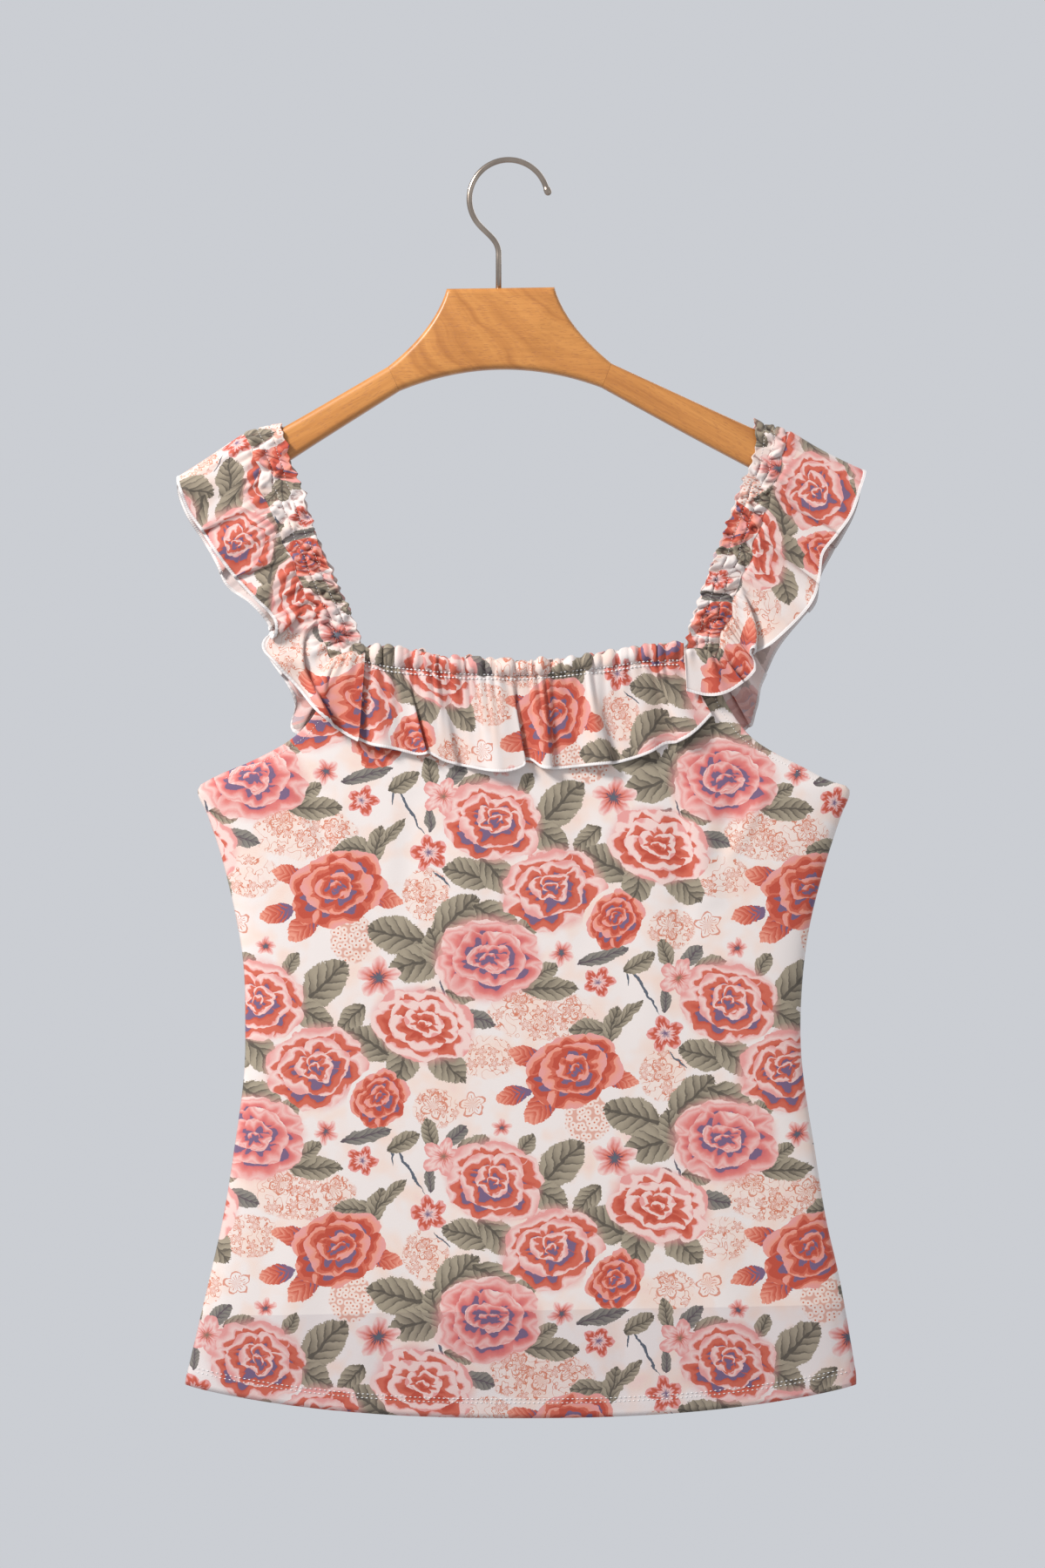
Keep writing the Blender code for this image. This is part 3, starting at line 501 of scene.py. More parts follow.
def cloth(name, node, middle, cut, strip, looks, thickness=CLOTH):
    """A thin closed sheet round a grid of middle points, its right side out.

    cut is each point's place in the flat cloth, which carries the print. strip is its place along
    the piece and its distance from the free edge. All of them are in millimetres.
    """
    rows, columns = middle.shape[:2]
    half = 0.5 * np.broadcast_to(thickness, (rows, columns))[..., None] * grid_normals(middle)
    points = np.concatenate([(middle + half).reshape(-1, 3), (middle - half).reshape(-1, 3)])
    size = rows * columns
    numbers = np.arange(size).reshape(rows, columns)
    quads = np.stack([numbers[:-1, :-1], numbers[:-1, 1:], numbers[1:, 1:], numbers[1:, :-1]],
                     axis=-1).reshape(-1, 4)
    quads = facing(quads, points, half.reshape(-1, 3)[quads[:, 0]])
    rim = np.concatenate([numbers[0, :-1], numbers[:-1, -1], numbers[-1, :0:-1],
                          numbers[:0:-1, 0]])
    after = np.roll(rim, -1)
    walls = np.stack([rim, after, after + size, rim + size], axis=-1)
    walls = facing(walls, points, points[walls[:1, 0]] - points[:size].mean(axis=0))
    faces = np.concatenate([quads, quads[:, ::-1] + size, walls])
    mesh = bpy.data.meshes.new(name)
    mesh.from_pydata((points * MM).tolist(), [], faces.tolist())
    parts = np.repeat([0, 1, 2], [len(quads), len(quads), len(walls)])
    mesh.polygons.foreach_set("material_index", (parts == 1).astype(np.int32))
    mesh.polygons.foreach_set("use_smooth", parts < 2)
    corners = faces.reshape(-1) % size
    for label, places in (("cut", cut), ("strip", strip)):
        layer = mesh.uv_layers.new(name=label)
        layer.uv.foreach_set("vector", (places.reshape(-1, 2)[corners] * MM).reshape(-1))
    for look in looks:
        mesh.materials.append(look)
    mesh.update()
    made = bpy.data.objects.new(name, mesh)
    scene.collection.objects.link(made)
    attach(made, "root")
    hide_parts(node)
    return made


def body_surface(across, place, side):
    """Points of a panel, across from -1 at the left seam to 1, place along the levels' table."""
    level = rows_between(BODY_LEVELS, place)
    share = 0.5 + 0.5 * across
    x = blend(level.left_x, level.right_x, share)
    z = blend(level.left_z, level.right_z, share) - level.sag * (1.0 - np.abs(across) ** SAG_ROUND)
    fullness = (1.0 - np.abs(across) ** SIDE_ROUND) ** SIDE_SOFTNESS
    depth = blend(level.edge, level.middle, fullness)
    for drape in BODY_DRAPES:
        if drape.side == side:
            down = np.clip((z - drape.top_z) / (drape.foot_z - drape.top_z), 0.0, 1.0)
            fold_x = blend(drape.top_x, drape.foot_x, down)
            fade = np.sin(np.pi * down) ** 0.5
            depth = depth + drape.rise * fade * rounded(x - fold_x, drape.half_width) * fullness
    return np.stack([x, side * depth, z], axis=-1)


# The printed mesh. Its flat repeat is a slanted lattice of loose roses, buds, leaves and line-drawn
# sprays in two or three flat tones each, as a screen print has them. The chart gives each motif's
# place and size in the flat cloth, in millimetres; the last ones lie on top.

def colour(*screen):
    """A printed colour, from the screen values 0 to 255 to the shader's linear ones."""
    return tuple(value / 12.92 if value <= 0.04045 else ((value + 0.055) / 1.055) ** 2.4
                 for value in (level / 255.0 for level in screen))


def blend_colour(first, second, share):
    return tuple(blend(a, b, share) for a, b in zip(first, second))


CREAM = colour(246, 237, 232)
BLUSH = colour(250, 226, 212)
PALE_PINK = colour(248, 216, 208)
PINK = colour(238, 164, 158)
ROSE_PINK = colour(214, 104, 106)
CORAL_PINK = colour(232, 132, 124)
LIGHT_CORAL = colour(242, 158, 134)
CORAL = colour(216, 104, 80)
RED_ORANGE = colour(198, 76, 52)
MAUVE = colour(122, 96, 130)
DEEP_MAUVE = colour(96, 72, 100)
LEAF_LIGHT = colour(170, 158, 136)
LEAF_DARK = colour(130, 119, 101)
VEIN = colour(76, 68, 58)
SLATE = colour(92, 100, 112)
SPRAY_ORANGE = colour(218, 124, 90)
THREAD_WHITE = colour(248, 246, 244)

REPEAT_ACROSS = 148.5              # one step of the lattice to the right
REPEAT_DROP = 113.85               # and how far down it goes with that step
REPEAT_HEIGHT = 226.6
PRINT_ORIGIN = (-107.8, -684.3)    # where the chart's origin lies on the front panel
CHART = "x z length width turn kind"
LEAF, SLATE_LEAF, STEM, TORN_PETAL = 1.0, 2.0, 3.0, 4.0
LEAVES = table(
    CHART, (34.7, 60.5, 18, 1.6, 90, STEM), (45.0, 50.0, 40, 1.6, -60, STEM),
    (66.3, -65.0, 17, 1.6, 100, STEM), (66.0, 5.5, 16, 1.3, -45, STEM),
    (-62.0, 54.0, 20, 1.5, 60, STEM), (-73.7, 95.2, 34, 21, 38, LEAF),
    (-49.0, 95.0, 28, 17, -28, LEAF), (-30.3, 88.0, 16, 11, 25, LEAF),
    (37.4, -29.7, 34, 21, 158, LEAF), (50.6, -47.3, 35, 20, 196, LEAF),
    (62.0, -38.0, 24, 15, 110, LEAF), (-14.3, 50.6, 31, 13, -6, LEAF),
    (-17.0, 61.6, 15, 9, 30, LEAF), (-66.0, -104.0, 30, 17, 172, LEAF),
    (-47.3, -105.0, 29, 17, -38, LEAF), (10.5, 24.8, 23, 12, 176, LEAF),
    (24.8, 27.5, 22, 11, 78, LEAF), (34.7, 34.7, 22, 7, 42, LEAF),
    (18.7, 71.0, 30, 8, 8, SLATE_LEAF), (41.8, 66.6, 20, 10, 24, LEAF),
    (-8.3, -60.0, 35, 21, 42, LEAF), (-17.0, -79.2, 29, 16, -36, LEAF),
    (-29.0, -47.3, 14, 9, 62, LEAF), (8.8, -82.0, 20, 12, 228, LEAF),
    (56.0, -67.7, 13, 7, 52, SLATE_LEAF), (-71.5, 46.2, 17, 10, -22, LEAF),
    (21.5, -98.0, 30, 20, 150, LEAF), (41.3, -108.4, 30, 18, 250, LEAF),
    (69.0, -110.6, 29, 18, -38, LEAF), (88.6, -82.5, 20, 10, -12, SLATE_LEAF),
    (58.3, 72.5, 17, 9, 104, LEAF), (74.3, 70.3, 17, 9, 52, SLATE_LEAF),
    (86.4, 65.6, 19, 10, 16, LEAF), (58.3, 42.9, 14, 6, 88, SLATE_LEAF),
    (-29.0, 8.0, 26, 12, 158, TORN_PETAL), (29.0, -6.0, 26, 12, -14, TORN_PETAL),
    (-20.0, -23.0, 30, 16, 232, TORN_PETAL), (-38.0, -16.0, 24, 12, 202, TORN_PETAL))
LEAF_SIZE = 1.15
LENS_CENTRE = 0.533                # a leaf is where two circles cross: tips at 1, sides at 0.6
LENS_RADIUS = 1.133
LENS_SIDE = 0.6
BLOSSOM, BUD, DARK_FLOWER, LINE_FLOWER = 1.0, 2.0, 3.0, 4.0
FLOWERS = table(
    CHART, (60.5, 89.7, 20, 20, 0, LINE_FLOWER), (-63.3, -22.0, 20, 18, 30, LINE_FLOWER),
    (56.0, -1.0, 15, 17, 10, LINE_FLOWER), (-35.0, 41.0, 17, 17, 50, LINE_FLOWER),
    (-2.0, 37.0, 18, 16, 15, LINE_FLOWER), (-20.0, 30.0, 15, 15, 70, LINE_FLOWER),
    (66.6, 57.4, 28, 26, 0, BLOSSOM), (25.9, -56.1, 30, 27, 20, DARK_FLOWER),
    (-7.2, 73.0, 18, 17, 40, DARK_FLOWER), (-45.1, -36.9, 14, 13, 10, DARK_FLOWER),
    (-22.0, -96.0, 15, 14, 0, BLOSSOM), (16.0, 55.0, 21, 20, 0, BUD),
    (57.8, 22.0, 25, 24, 30, BUD))
RED_ROSE, CORAL_ROSE, PEONY, CREAM_ROSE = 1.0, 2.0, 3.0, 4.0
ROSES = table(
    CHART, (-13.8, 113.3, 66, 54, 12, CORAL_ROSE), (-50.6, -70.4, 62, 53, -20, CORAL_ROSE),
    (26.4, 94.0, 40, 34, 40, RED_ROSE), (53.9, -85.8, 66, 48, -8, CREAM_ROSE),
    (-53.9, 69.3, 68, 55, 0, PEONY), (0.0, 0.0, 62, 49, 20, RED_ROSE))
SPRAYS = table(CHART, (-20.6, 34.4, 68, 34, 0, 0.0), (-54.5, 7.7, 36, 28, 0, 0.0),
               (56.0, -4.0, 30, 34, 0, 0.0), (62.0, 88.0, 30, 26, 0, 0.0))
CLUSTERS = table(CHART, (9.0, -31.0, 30, 32, 0, 0.0))

# A rose's petals from the outside in, in halves of its size: place, the way it points, half length
# across that way and half width along it, and how much lighter its tone is.
ROSE_PETALS = table(
    "x z turn long wide tone",
    (-0.52, 0.34, 150, 0.43, 0.36, 0.05), (0.56, 0.36, 30, 0.44, 0.34, -0.02),
    (0.02, 0.62, 90, 0.50, 0.30, 0.03), (-0.60, -0.28, 195, 0.44, 0.34, 0.01),
    (0.60, -0.30, 330, 0.46, 0.37, 0.06), (-0.08, -0.60, 270, 0.58, 0.35, -0.01),
    (-0.34, 0.22, 150, 0.40, 0.29, -0.04), (0.24, 0.34, 60, 0.42, 0.28, 0.05),
    (0.40, -0.04, 345, 0.38, 0.29, -0.05), (-0.28, -0.26, 225, 0.42, 0.28, 0.04),
    (0.14, -0.38, 285, 0.42, 0.25, -0.02), (-0.16, 0.06, 195, 0.28, 0.22, 0.05),
    (0.10, 0.18, 75, 0.26, 0.18, -0.04), (0.15, -0.09, 330, 0.26, 0.19, 0.05),
    (-0.03, -0.10, 255, 0.24, 0.15, -0.03), (0.01, 0.04, 105, 0.14, 0.11, -0.04))
PETAL_CUP = 0.62                   # how far towards the heart the middle of a petal's tones lies
PETAL_ROOT = 1.5                   # a petal's brush strokes fan out from this far below its middle

TURNS = 12
NOWHERE = (9.0, 9.0, 0.0)          # a place outside every motif


def lattice_copies(motifs):
    """Each motif at every place where it reaches into the one cell that the shader looks at."""
    for motif in motifs:
        reach = 0.55 * max(motif.length, motif.width)
        for across in (-1, 0, 1):
            for down in (-2, -1, 0, 1, 2):
                x = motif.x + across * REPEAT_ACROSS
                z = motif.z - across * REPEAT_DROP + down * REPEAT_HEIGHT
                if (abs(x) - reach < 0.5 * REPEAT_ACROSS
                        and abs(z) - reach < 0.5 * REPEAT_HEIGHT):
                    yield motif._replace(x=x, z=z)


class PrintGraph(Graph):
    """Adds the calls that the print is drawn with."""

    def mix_places(self, share, first, second):
        node = self.add("ShaderNodeMix", data_type="VECTOR")
        node.clamp_factor = False
        inputs = [socket for socket in node.inputs if socket.enabled]
        for socket, value in zip(inputs, (share, first, second)):
            self.set(socket, value)
        return [socket for socket in node.outputs if socket.enabled][0]

    def turns(self, place):
        """The place in axes that are turned by each of TURNS steps of half a circle."""
        turned = []
        for step in range(TURNS):
            angle = math.pi * step / TURNS
            along = self.vector("DOT_PRODUCT", place, (math.cos(angle), math.sin(angle), 0.0))
            across = self.vector("DOT_PRODUCT", place, (-math.sin(angle), math.cos(angle), 0.0))
            turned.append(self.join(along, across))
        return turned

    def placed(self, turned, x, z, half_long, half_wide, turn, kind):
        """A place seen from a motif's own centre, in halves of its size, its kind as depth."""
        step = round(turn * TURNS / 180.0)
        angle = math.pi * (step % TURNS) / TURNS
        flip = -1.0 if (step // TURNS) % 2 else 1.0
        along = flip / half_long
        across = flip / half_wide
        centre_x = x * math.cos(angle) + z * math.sin(angle)
        centre_z = z * math.cos(angle) - x * math.sin(angle)
        node = self.add("ShaderNodeVectorMath", {
            0: turned[step % TURNS], 1: (along, across, 0.0),
            2: (-along * centre_x, -across * centre_z, kind)}, operation="MULTIPLY_ADD")
        return node.outputs[0]

    def charted(self, cell, motif, size=1.0, slim=1.0):
        """The place in one of the chart's motifs."""
        return self.placed(cell, motif.x, motif.z, 0.5 * size * motif.length,
                           0.5 * size * motif.width / slim, motif.turn, motif.kind)

    def topmost(self, places, limit, chosen=NOWHERE, lens=0.0):
        """The place in the last motif that holds it, from (place, kind) pairs in order.

        A leaf is where two circles cross, whose centres lie lens off its midrib.
        """
        for place, kind in places:
            folded = self.vector("ABSOLUTE", place) if lens else place
            far = self.vector("DISTANCE", folded, (0.0, -lens, kind))
            chosen = self.mix_places(self.below(far, limit), chosen, place)
        return chosen

    def patches(self, cell, motifs, low, high):
        """1 inside some soft-edged round patches and 0 outside."""
        near = None
        for patch in lattice_copies(motifs):
            far = self.vector("LENGTH", self.charted(cell, patch))
            near = far if near is None else self.math("MINIMUM", near, far)
        return self.soft_step(near, low, high, 1.0, 0.0)

    def cells(self, place, scale, randomness=1.0):
        return self.add("ShaderNodeTexVoronoi", {"Vector": place, "Scale": scale,
                                                 "Randomness": randomness},
                        voronoi_dimensions="2D").outputs

    def soft_step(self, value, low, high, start=0.0, end=1.0):
        node = self.add("ShaderNodeMapRange", {"Value": value, "From Min": low, "From Max": high,
                                               "To Min": start, "To Max": end},
                        interpolation_type="SMOOTHSTEP", clamp=False)
        return node.outputs[0]

    def split(self, place):
        return self.add("ShaderNodeSeparateXYZ", {0: place}).outputs[:]

    def wander(self, place, scale, reach, detail, roughness):
        """A flat, uneven shift of up to reach each way."""
        shift = self.noise(place, scale, detail, roughness, "Color")
        parts = self.add("ShaderNodeSeparateColor", {"Color": shift}).outputs
        return self.join(*(self.scaled(part, 2.0 * reach, -reach) for part in parts[:2]))

    def by_kind(self, kind, painted, *others):
        """The first colour for kind 1, the next for kind 2 and so on."""
        for number, other in enumerate(others, 1):
            painted = self.paint(self.above(kind, number + 0.5), painted, other)
        return painted


def draw_ground(graph, flat):
    return graph.ramp(graph.noise(flat, 0.045, 2.0), (0.46, CREAM),
                      (0.57, blend_colour(CREAM, BLUSH, 0.6)), (0.66, BLUSH), (0.78, PALE_PINK))


def draw_sprays(graph, ground, flat, cell):
    """Thin orange line drawings inside the sprays' patches, and clusters of florets."""
    inside = graph.patches(cell, SPRAYS, 0.92, 1.02)
    florets = graph.cells(flat, 0.125, 0.85)
    x, y = graph.split(graph.vector("SUBTRACT", flat, florets["Position"]))[:2]
    angle = graph.math("ARCTAN2", y, x)
    tint = graph.add("ShaderNodeSeparateColor", {"Color": florets["Color"]}).outputs
    petals = graph.math("SINE", graph.scaled(angle, 5.0, graph.times(tint[0], 6.0)))
    outline = graph.scaled(petals, 0.16, 0.30)
    away = graph.math("ABSOLUTE", graph.math("SUBTRACT", florets["Distance"], outline))
    line = graph.below(away, 0.055)
    ray = graph.times(graph.above(petals, 0.8), graph.below(florets["Distance"], 0.3))
    line = graph.times(graph.math("MAXIMUM", line, ray), graph.above(tint[1], 0.22))
    curl = graph.math("SUBTRACT", graph.noise(flat, 0.16, 1.0), 0.5)
    curl = graph.below(graph.math("ABSOLUTE", curl), 0.011)
    line = graph.times(graph.math("MAXIMUM", line, curl), inside)
    ground = graph.paint(graph.times(inside, 0.55), ground, BLUSH)
    drawn = graph.paint(graph.times(line, 0.9), ground, SPRAY_ORANGE)
    shade = graph.times(graph.soft_step(florets["Distance"], 0.3, 0.05), 0.35)
    drawn = graph.paint(graph.times(shade, inside), drawn, PALE_PINK)
    inside = graph.patches(cell, CLUSTERS, 0.9, 1.0)
    small = graph.cells(flat, 0.26, 0.7)["Distance"]
    gaps = graph.soft_step(small, 0.46, 0.58, 0.0, 0.6)
    gaps = graph.math("MAXIMUM", gaps, graph.below(small, 0.15))
    drawn = graph.paint(graph.times(inside, 0.6), drawn, BLUSH)
    return graph.paint(graph.times(gaps, inside), drawn, SPRAY_ORANGE)


def draw_leaves(graph, under, flat, cell):
    reach = graph.scaled(graph.noise(flat, 0.9, 1.0), 0.16, LENS_RADIUS - 0.08)
    x, y, kind = graph.split(graph.topmost(
        ((graph.charted(cell, leaf, LEAF_SIZE if leaf.kind <= SLATE_LEAF else 1.0, LENS_SIDE),
          leaf.kind) for leaf in lattice_copies(LEAVES)), reach, lens=LENS_CENTRE))
    half = graph.math("ABSOLUTE", y)
    stroke = graph.math("FRACT", graph.scaled(x, 2.9, graph.times(half, -3.2)))
    vein = graph.below(stroke, graph.scaled(half, -0.55, 0.34))
    shade = graph.soft_step(graph.scaled(stroke, 0.5, half), 0.25, 0.75)
    midrib = graph.below(half, graph.scaled(x, -0.02, 0.045))
    vein = graph.math("MAXIMUM", graph.times(vein, 0.62), midrib)
    blade = graph.paint(shade, LEAF_DARK, LEAF_LIGHT)
    blade = graph.paint(graph.times(vein, 0.8), blade, VEIN)
    slate = graph.paint(0.45, blade, graph.paint(vein, SLATE, DEEP_MAUVE))
    torn = graph.ramp(graph.scaled(x, 0.35, graph.times(stroke, 0.25)),
                      (0.0, MAUVE), (0.03, RED_ORANGE), (0.20, CORAL), (0.42, LIGHT_CORAL))
    painted = graph.by_kind(kind, blade, slate, SLATE, torn)
    return graph.paint(graph.above(kind, 0.5), under, painted)


def draw_flowers(graph, under, cell):
    x, y, kind = graph.split(graph.topmost(
        ((graph.charted(cell, flower), flower.kind) for flower in lattice_copies(FLOWERS)), 1.0))
    far = graph.vector("LENGTH", graph.join(x, y))
    angle = graph.math("ARCTAN2", y, x)
    lobes = graph.math("ABSOLUTE", graph.math("COSINE", graph.times(angle, 2.5)))
    streaks = graph.math("SINE", graph.times(angle, 17.0))
    share = graph.math("DIVIDE", far, graph.scaled(lobes, 0.42, 0.56))
    tone = graph.scaled(streaks, 0.10, share)
    blossom = graph.ramp(tone, (0.10, LEAF_DARK), (0.16, CORAL), (0.34, PINK),
                         (0.62, PALE_PINK), (0.90, PINK))
    bud = graph.ramp(tone, (0.14, MAUVE), (0.20, PALE_PINK), (0.48, PINK), (0.54, RED_ORANGE),
                     (0.80, CORAL), (0.86, PINK))
    dark = graph.ramp(tone, (0.16, SLATE), (0.24, DEEP_MAUVE), (0.34, CORAL), (0.66, PINK),
                      (0.95, PALE_PINK))
    painted = graph.by_kind(kind, blossom, bud, dark)
    away = graph.math("ABSOLUTE", graph.math("SUBTRACT", share, 0.86))
    rays = graph.times(graph.above(streaks, 0.6), graph.below(share, 0.6))
    line = graph.math("MAXIMUM", graph.below(away, 0.07), rays)
    is_line = graph.above(kind, 3.5)
    cover = graph.times(graph.below(share, 1.0), graph.above(kind, 0.5))
    solid = graph.times(cover, graph.math("SUBTRACT", 1.0, is_line))
    drawn = graph.paint(solid, under, painted)
    line = graph.times(graph.times(line, is_line), cover)
    return graph.paint(graph.times(line, 0.8), drawn, SPRAY_ORANGE)


def draw_roses(graph, under, flat, cell):
    """Roses of lapped petals, each with brush strokes that fan out from its root."""
    chosen = graph.topmost(
        ((graph.charted(cell, rose), rose.kind) for rose in lattice_copies(ROSES)), 1.1)
    kind = graph.split(chosen)[2]
    place = graph.vector("MULTIPLY", chosen, (1.0, 1.0, 0.0))
    halo = graph.soft_step(graph.vector("LENGTH", place), 0.74, 1.10, 1.0, 0.0)
    place = graph.vector("ADD", place, graph.wander(flat, 0.06, 0.13, 0.5, 0.5))
    height = graph.split(place)[1]
    turned = graph.turns(place)
    x, y, tone = graph.split(graph.topmost(
        ((graph.placed(turned, petal.x, petal.z, petal.long, petal.wide, petal.turn - 90.0,
                       petal.tone), petal.tone) for petal in ROSE_PETALS), 1.0, (0.0, 0.0, -1.0)))
    cover = graph.above(tone, -0.5)
    far = graph.vector("LENGTH", graph.join(x, graph.math("ADD", y, PETAL_CUP)))
    turn = graph.math("ARCTAN2", x, graph.math("ADD", y, PETAL_ROOT))
    fan = graph.join(graph.times(turn, 3.4), graph.times(far, 0.35),
                     graph.scaled(tone, 37.0, kind))
    streak = graph.noise(fan, 1.0, 0.3, 0.4)
    tone = graph.math("ADD", tone, graph.scaled(far, 0.85, -0.38))
    tone = graph.math("ADD", tone, graph.scaled(streak, 1.5, -0.75))
    tone = graph.scaled(height, 0.11, tone)
    red = graph.ramp(tone, (0.14, MAUVE), (0.17, RED_ORANGE), (0.46, RED_ORANGE), (0.49, CORAL),
                     (0.64, CORAL), (0.67, LIGHT_CORAL), (1.05, PINK))
    coral = graph.ramp(tone, (0.06, MAUVE), (0.09, RED_ORANGE), (0.26, CORAL), (0.47, CORAL),
                       (0.50, PINK), (0.62, PALE_PINK), (0.98, PINK))
    peony = graph.ramp(tone, (0.12, MAUVE), (0.15, ROSE_PINK), (0.38, CORAL_PINK), (0.50, PINK),
                       (0.66, blend_colour(PINK, PALE_PINK, 0.55)), (0.80, PINK),
                       (1.05, PALE_PINK))
    cream = graph.ramp(tone, (0.02, RED_ORANGE), (0.22, CORAL), (0.39, CORAL), (0.42, PINK),
                       (0.52, PALE_PINK), (0.84, PALE_PINK), (0.96, PINK))
    painted = graph.by_kind(kind, red, coral, peony, cream)
    under = graph.paint(graph.times(halo, graph.above(kind, 1.5)), under, PINK)
    return graph.paint(cover, under, painted)


def rose_print():
    """A node group: the print's colour at a place in the flat cloth, in metres."""
    tree = bpy.data.node_groups.new("rose print", "ShaderNodeTree")
    tree.interface.new_socket("Place", in_out="INPUT", socket_type="NodeSocketVector")
    tree.interface.new_socket("Colour", in_out="OUTPUT", socket_type="NodeSocketColor")
    graph = PrintGraph(tree)
    start = tree.nodes.new("NodeGroupInput").outputs[0]
    flat = graph.vector("MULTIPLY", start, (1.0 / MM, 1.0 / MM, 0.0))
    x, z = graph.split(flat)[:2]
    step = graph.math("ROUND", graph.times(x, 1.0 / REPEAT_ACROSS))
    x = graph.scaled(step, -REPEAT_ACROSS, x)
    z = graph.scaled(step, REPEAT_DROP, z)
    step = graph.math("ROUND", graph.times(z, 1.0 / REPEAT_HEIGHT))
    z = graph.scaled(step, -REPEAT_HEIGHT, z)
    cell = graph.turns(graph.vector("ADD", graph.join(x, z),
                                    graph.wander(flat, 0.10, 3.0, 3.0, 0.6)))
    drawn = draw_sprays(graph, draw_ground(graph, flat), flat, cell)
    drawn = draw_leaves(graph, drawn, flat, cell)
    drawn = draw_flowers(graph, drawn, cell)
    drawn = draw_roses(graph, drawn, flat, cell)
    graph.set(tree.nodes.new("NodeGroupOutput").inputs[0], drawn)
    return tree


ROSE_PRINT = rose_print()
WRONG_SIDE_TONE = (0.86, 0.70, 0.67)
# A dark tint painted into the creases as shade.
CREASE_PAINTED_SHADE = (0.42, 0.28, 0.27)
CLOTH_SHADE = (0.76, 0.745, 0.74)  # the mesh lets a little light through, so it is never white
# Straps and ruffles are darker than the body on their right side: partly as one unlined layer,
# partly as painted shade for their gathers.
GATHERED_TONE_AND_PAINTED_SHADE = (0.70, 0.675, 0.67)
INNER_HEM = 0.0412                 # the inner layer ends this far below the chart's origin
INNER_HEM_SLOPE = 0.018
SINGLE_LAYER = (0.87, 0.86, 0.88)  # and below it only one layer of the mesh holds back the shade
THREAD_TURNS = 5200.0              # one turn of the overlocking thread for each 1.2 mm
KNIT_CELLS = 1300.0


def mesh_cloth(name, paler=0.0, edge=0.0, lined=False, crumpled=0.0, shade=CLOTH_SHADE):
    """The printed mesh's right side, or its paler wrong side, with a white sewn edge or none, and
    painted shade in its creases where crumpled is given.
    """
    look, graph, shader = new_look(name, PrintGraph, roughness=0.78, sheen_weight=0.12,
                                   sheen_roughness=0.5)
    flat = graph.add("ShaderNodeUVMap", uv_map="cut").outputs[0]
    printed = graph.add("ShaderNodeGroup", node_tree=ROSE_PRINT)
    graph.set(printed.inputs[0], flat)
    drawn = printed.outputs[0]
    if paler:
        drawn = graph.paint(paler, drawn, WRONG_SIDE_TONE)
    height = graph.cells(flat, KNIT_CELLS)["Distance"]
    if edge:
        along, from_edge = graph.split(graph.add("ShaderNodeUVMap",
                                                 uv_map="strip").outputs[0])[:2]
        wraps = graph.math("SINE", graph.times(along, THREAD_TURNS))
        band = graph.below(from_edge, graph.scaled(wraps, 0.00018, edge * MM))
        drawn = graph.paint(graph.times(band, 0.94), drawn, THREAD_WHITE)
        height = graph.scaled(graph.times(wraps, band), 2.0, height)
    drawn = graph.paint(1.0, drawn, shade, "MULTIPLY")
    # Painted shade: the colour darkens where the surface curves inwards (low pointiness), for the
    # shade that falls into creases; crumpled sets how dark it gets.
    if crumpled:
        bend = graph.add("ShaderNodeNewGeometry").outputs["Pointiness"]
        painted_crease_shade = graph.soft_step(bend, 0.466, 0.4995, crumpled, 0.0)
        drawn = graph.paint(painted_crease_shade, drawn, CREASE_PAINTED_SHADE, "MULTIPLY")
    if lined:
        x, z = graph.split(flat)[:2]
        above = graph.math("ADD", z, graph.scaled(x, -INNER_HEM_SLOPE, INNER_HEM))
        drawn = graph.paint(graph.below(above, 0.0), drawn, SINGLE_LAYER, "MULTIPLY")
    graph.set(shader.inputs["Base Color"], drawn)
    graph.bump(shader, height, 0.12, 0.0003)
    return look


# The straps' right side: painted shade in its creases, and darker than the body partly as painted
# shade.
PRINT = [mesh_cloth("printed mesh", crumpled=0.9, shade=GATHERED_TONE_AND_PAINTED_SHADE),
         mesh_cloth("printed mesh wrong side", 0.55)]
LINED_PRINT = [mesh_cloth("lined mesh", lined=True), PRINT[1]]
WHITE_THREAD = new_look("white thread", base_color=(0.82, 0.81, 0.80, 1.0), roughness=0.55)[0]


def thread_row(path, out, pitch=3.0, share=0.72, thick=0.32, rise=0.45):
    """Points and faces of a row of stitches along a path on the cloth's right side."""
    run = length_along(path)
    starts = np.arange(0.5 * pitch, run[-1] - pitch, pitch)

    def at(place, values):
        return np.stack([np.interp(place, run, values[:, axis]) for axis in range(3)], axis=-1)

    up = at(starts, out)
    first = at(starts, path) + rise * up
    last = at(starts + share * pitch, path) + rise * at(starts + share * pitch, out)
    side = thick * unit(np.cross(last - first, up))
    middle = 0.5 * (first + last) + 0.3 * thick * up
    points = np.stack([first, middle + side, middle + thick * up, middle - side,
                       middle - thick * up, last], axis=1).reshape(-1, 3)
    faces = []
    for base in range(0, len(points), 6):
        for turn in range(4):
            after = (turn + 1) % 4
            faces.append((base, base + 1 + after, base + 1 + turn))
            faces.append((base + 5, base + 1 + turn, base + 1 + after))
    return list(points), faces


def stitching(name, rows):
    """One piece of white thread from several rows of stitches."""
    points = []
    faces = []
    for row_points, row_faces in rows:
        faces += [tuple(len(points) + corner for corner in face) for face in row_faces]
        points += row_points
    link_mesh(name, points, faces, WHITE_THREAD)


HEM_STITCHES = (9.6, 12.0)         # the twin needle's two rows, above the hem's edge
ARMHOLE_START = -391.0             # height where the side seams end and the armholes begin
ARMHOLE_STITCH = 6                 # columns in from the armhole's edge


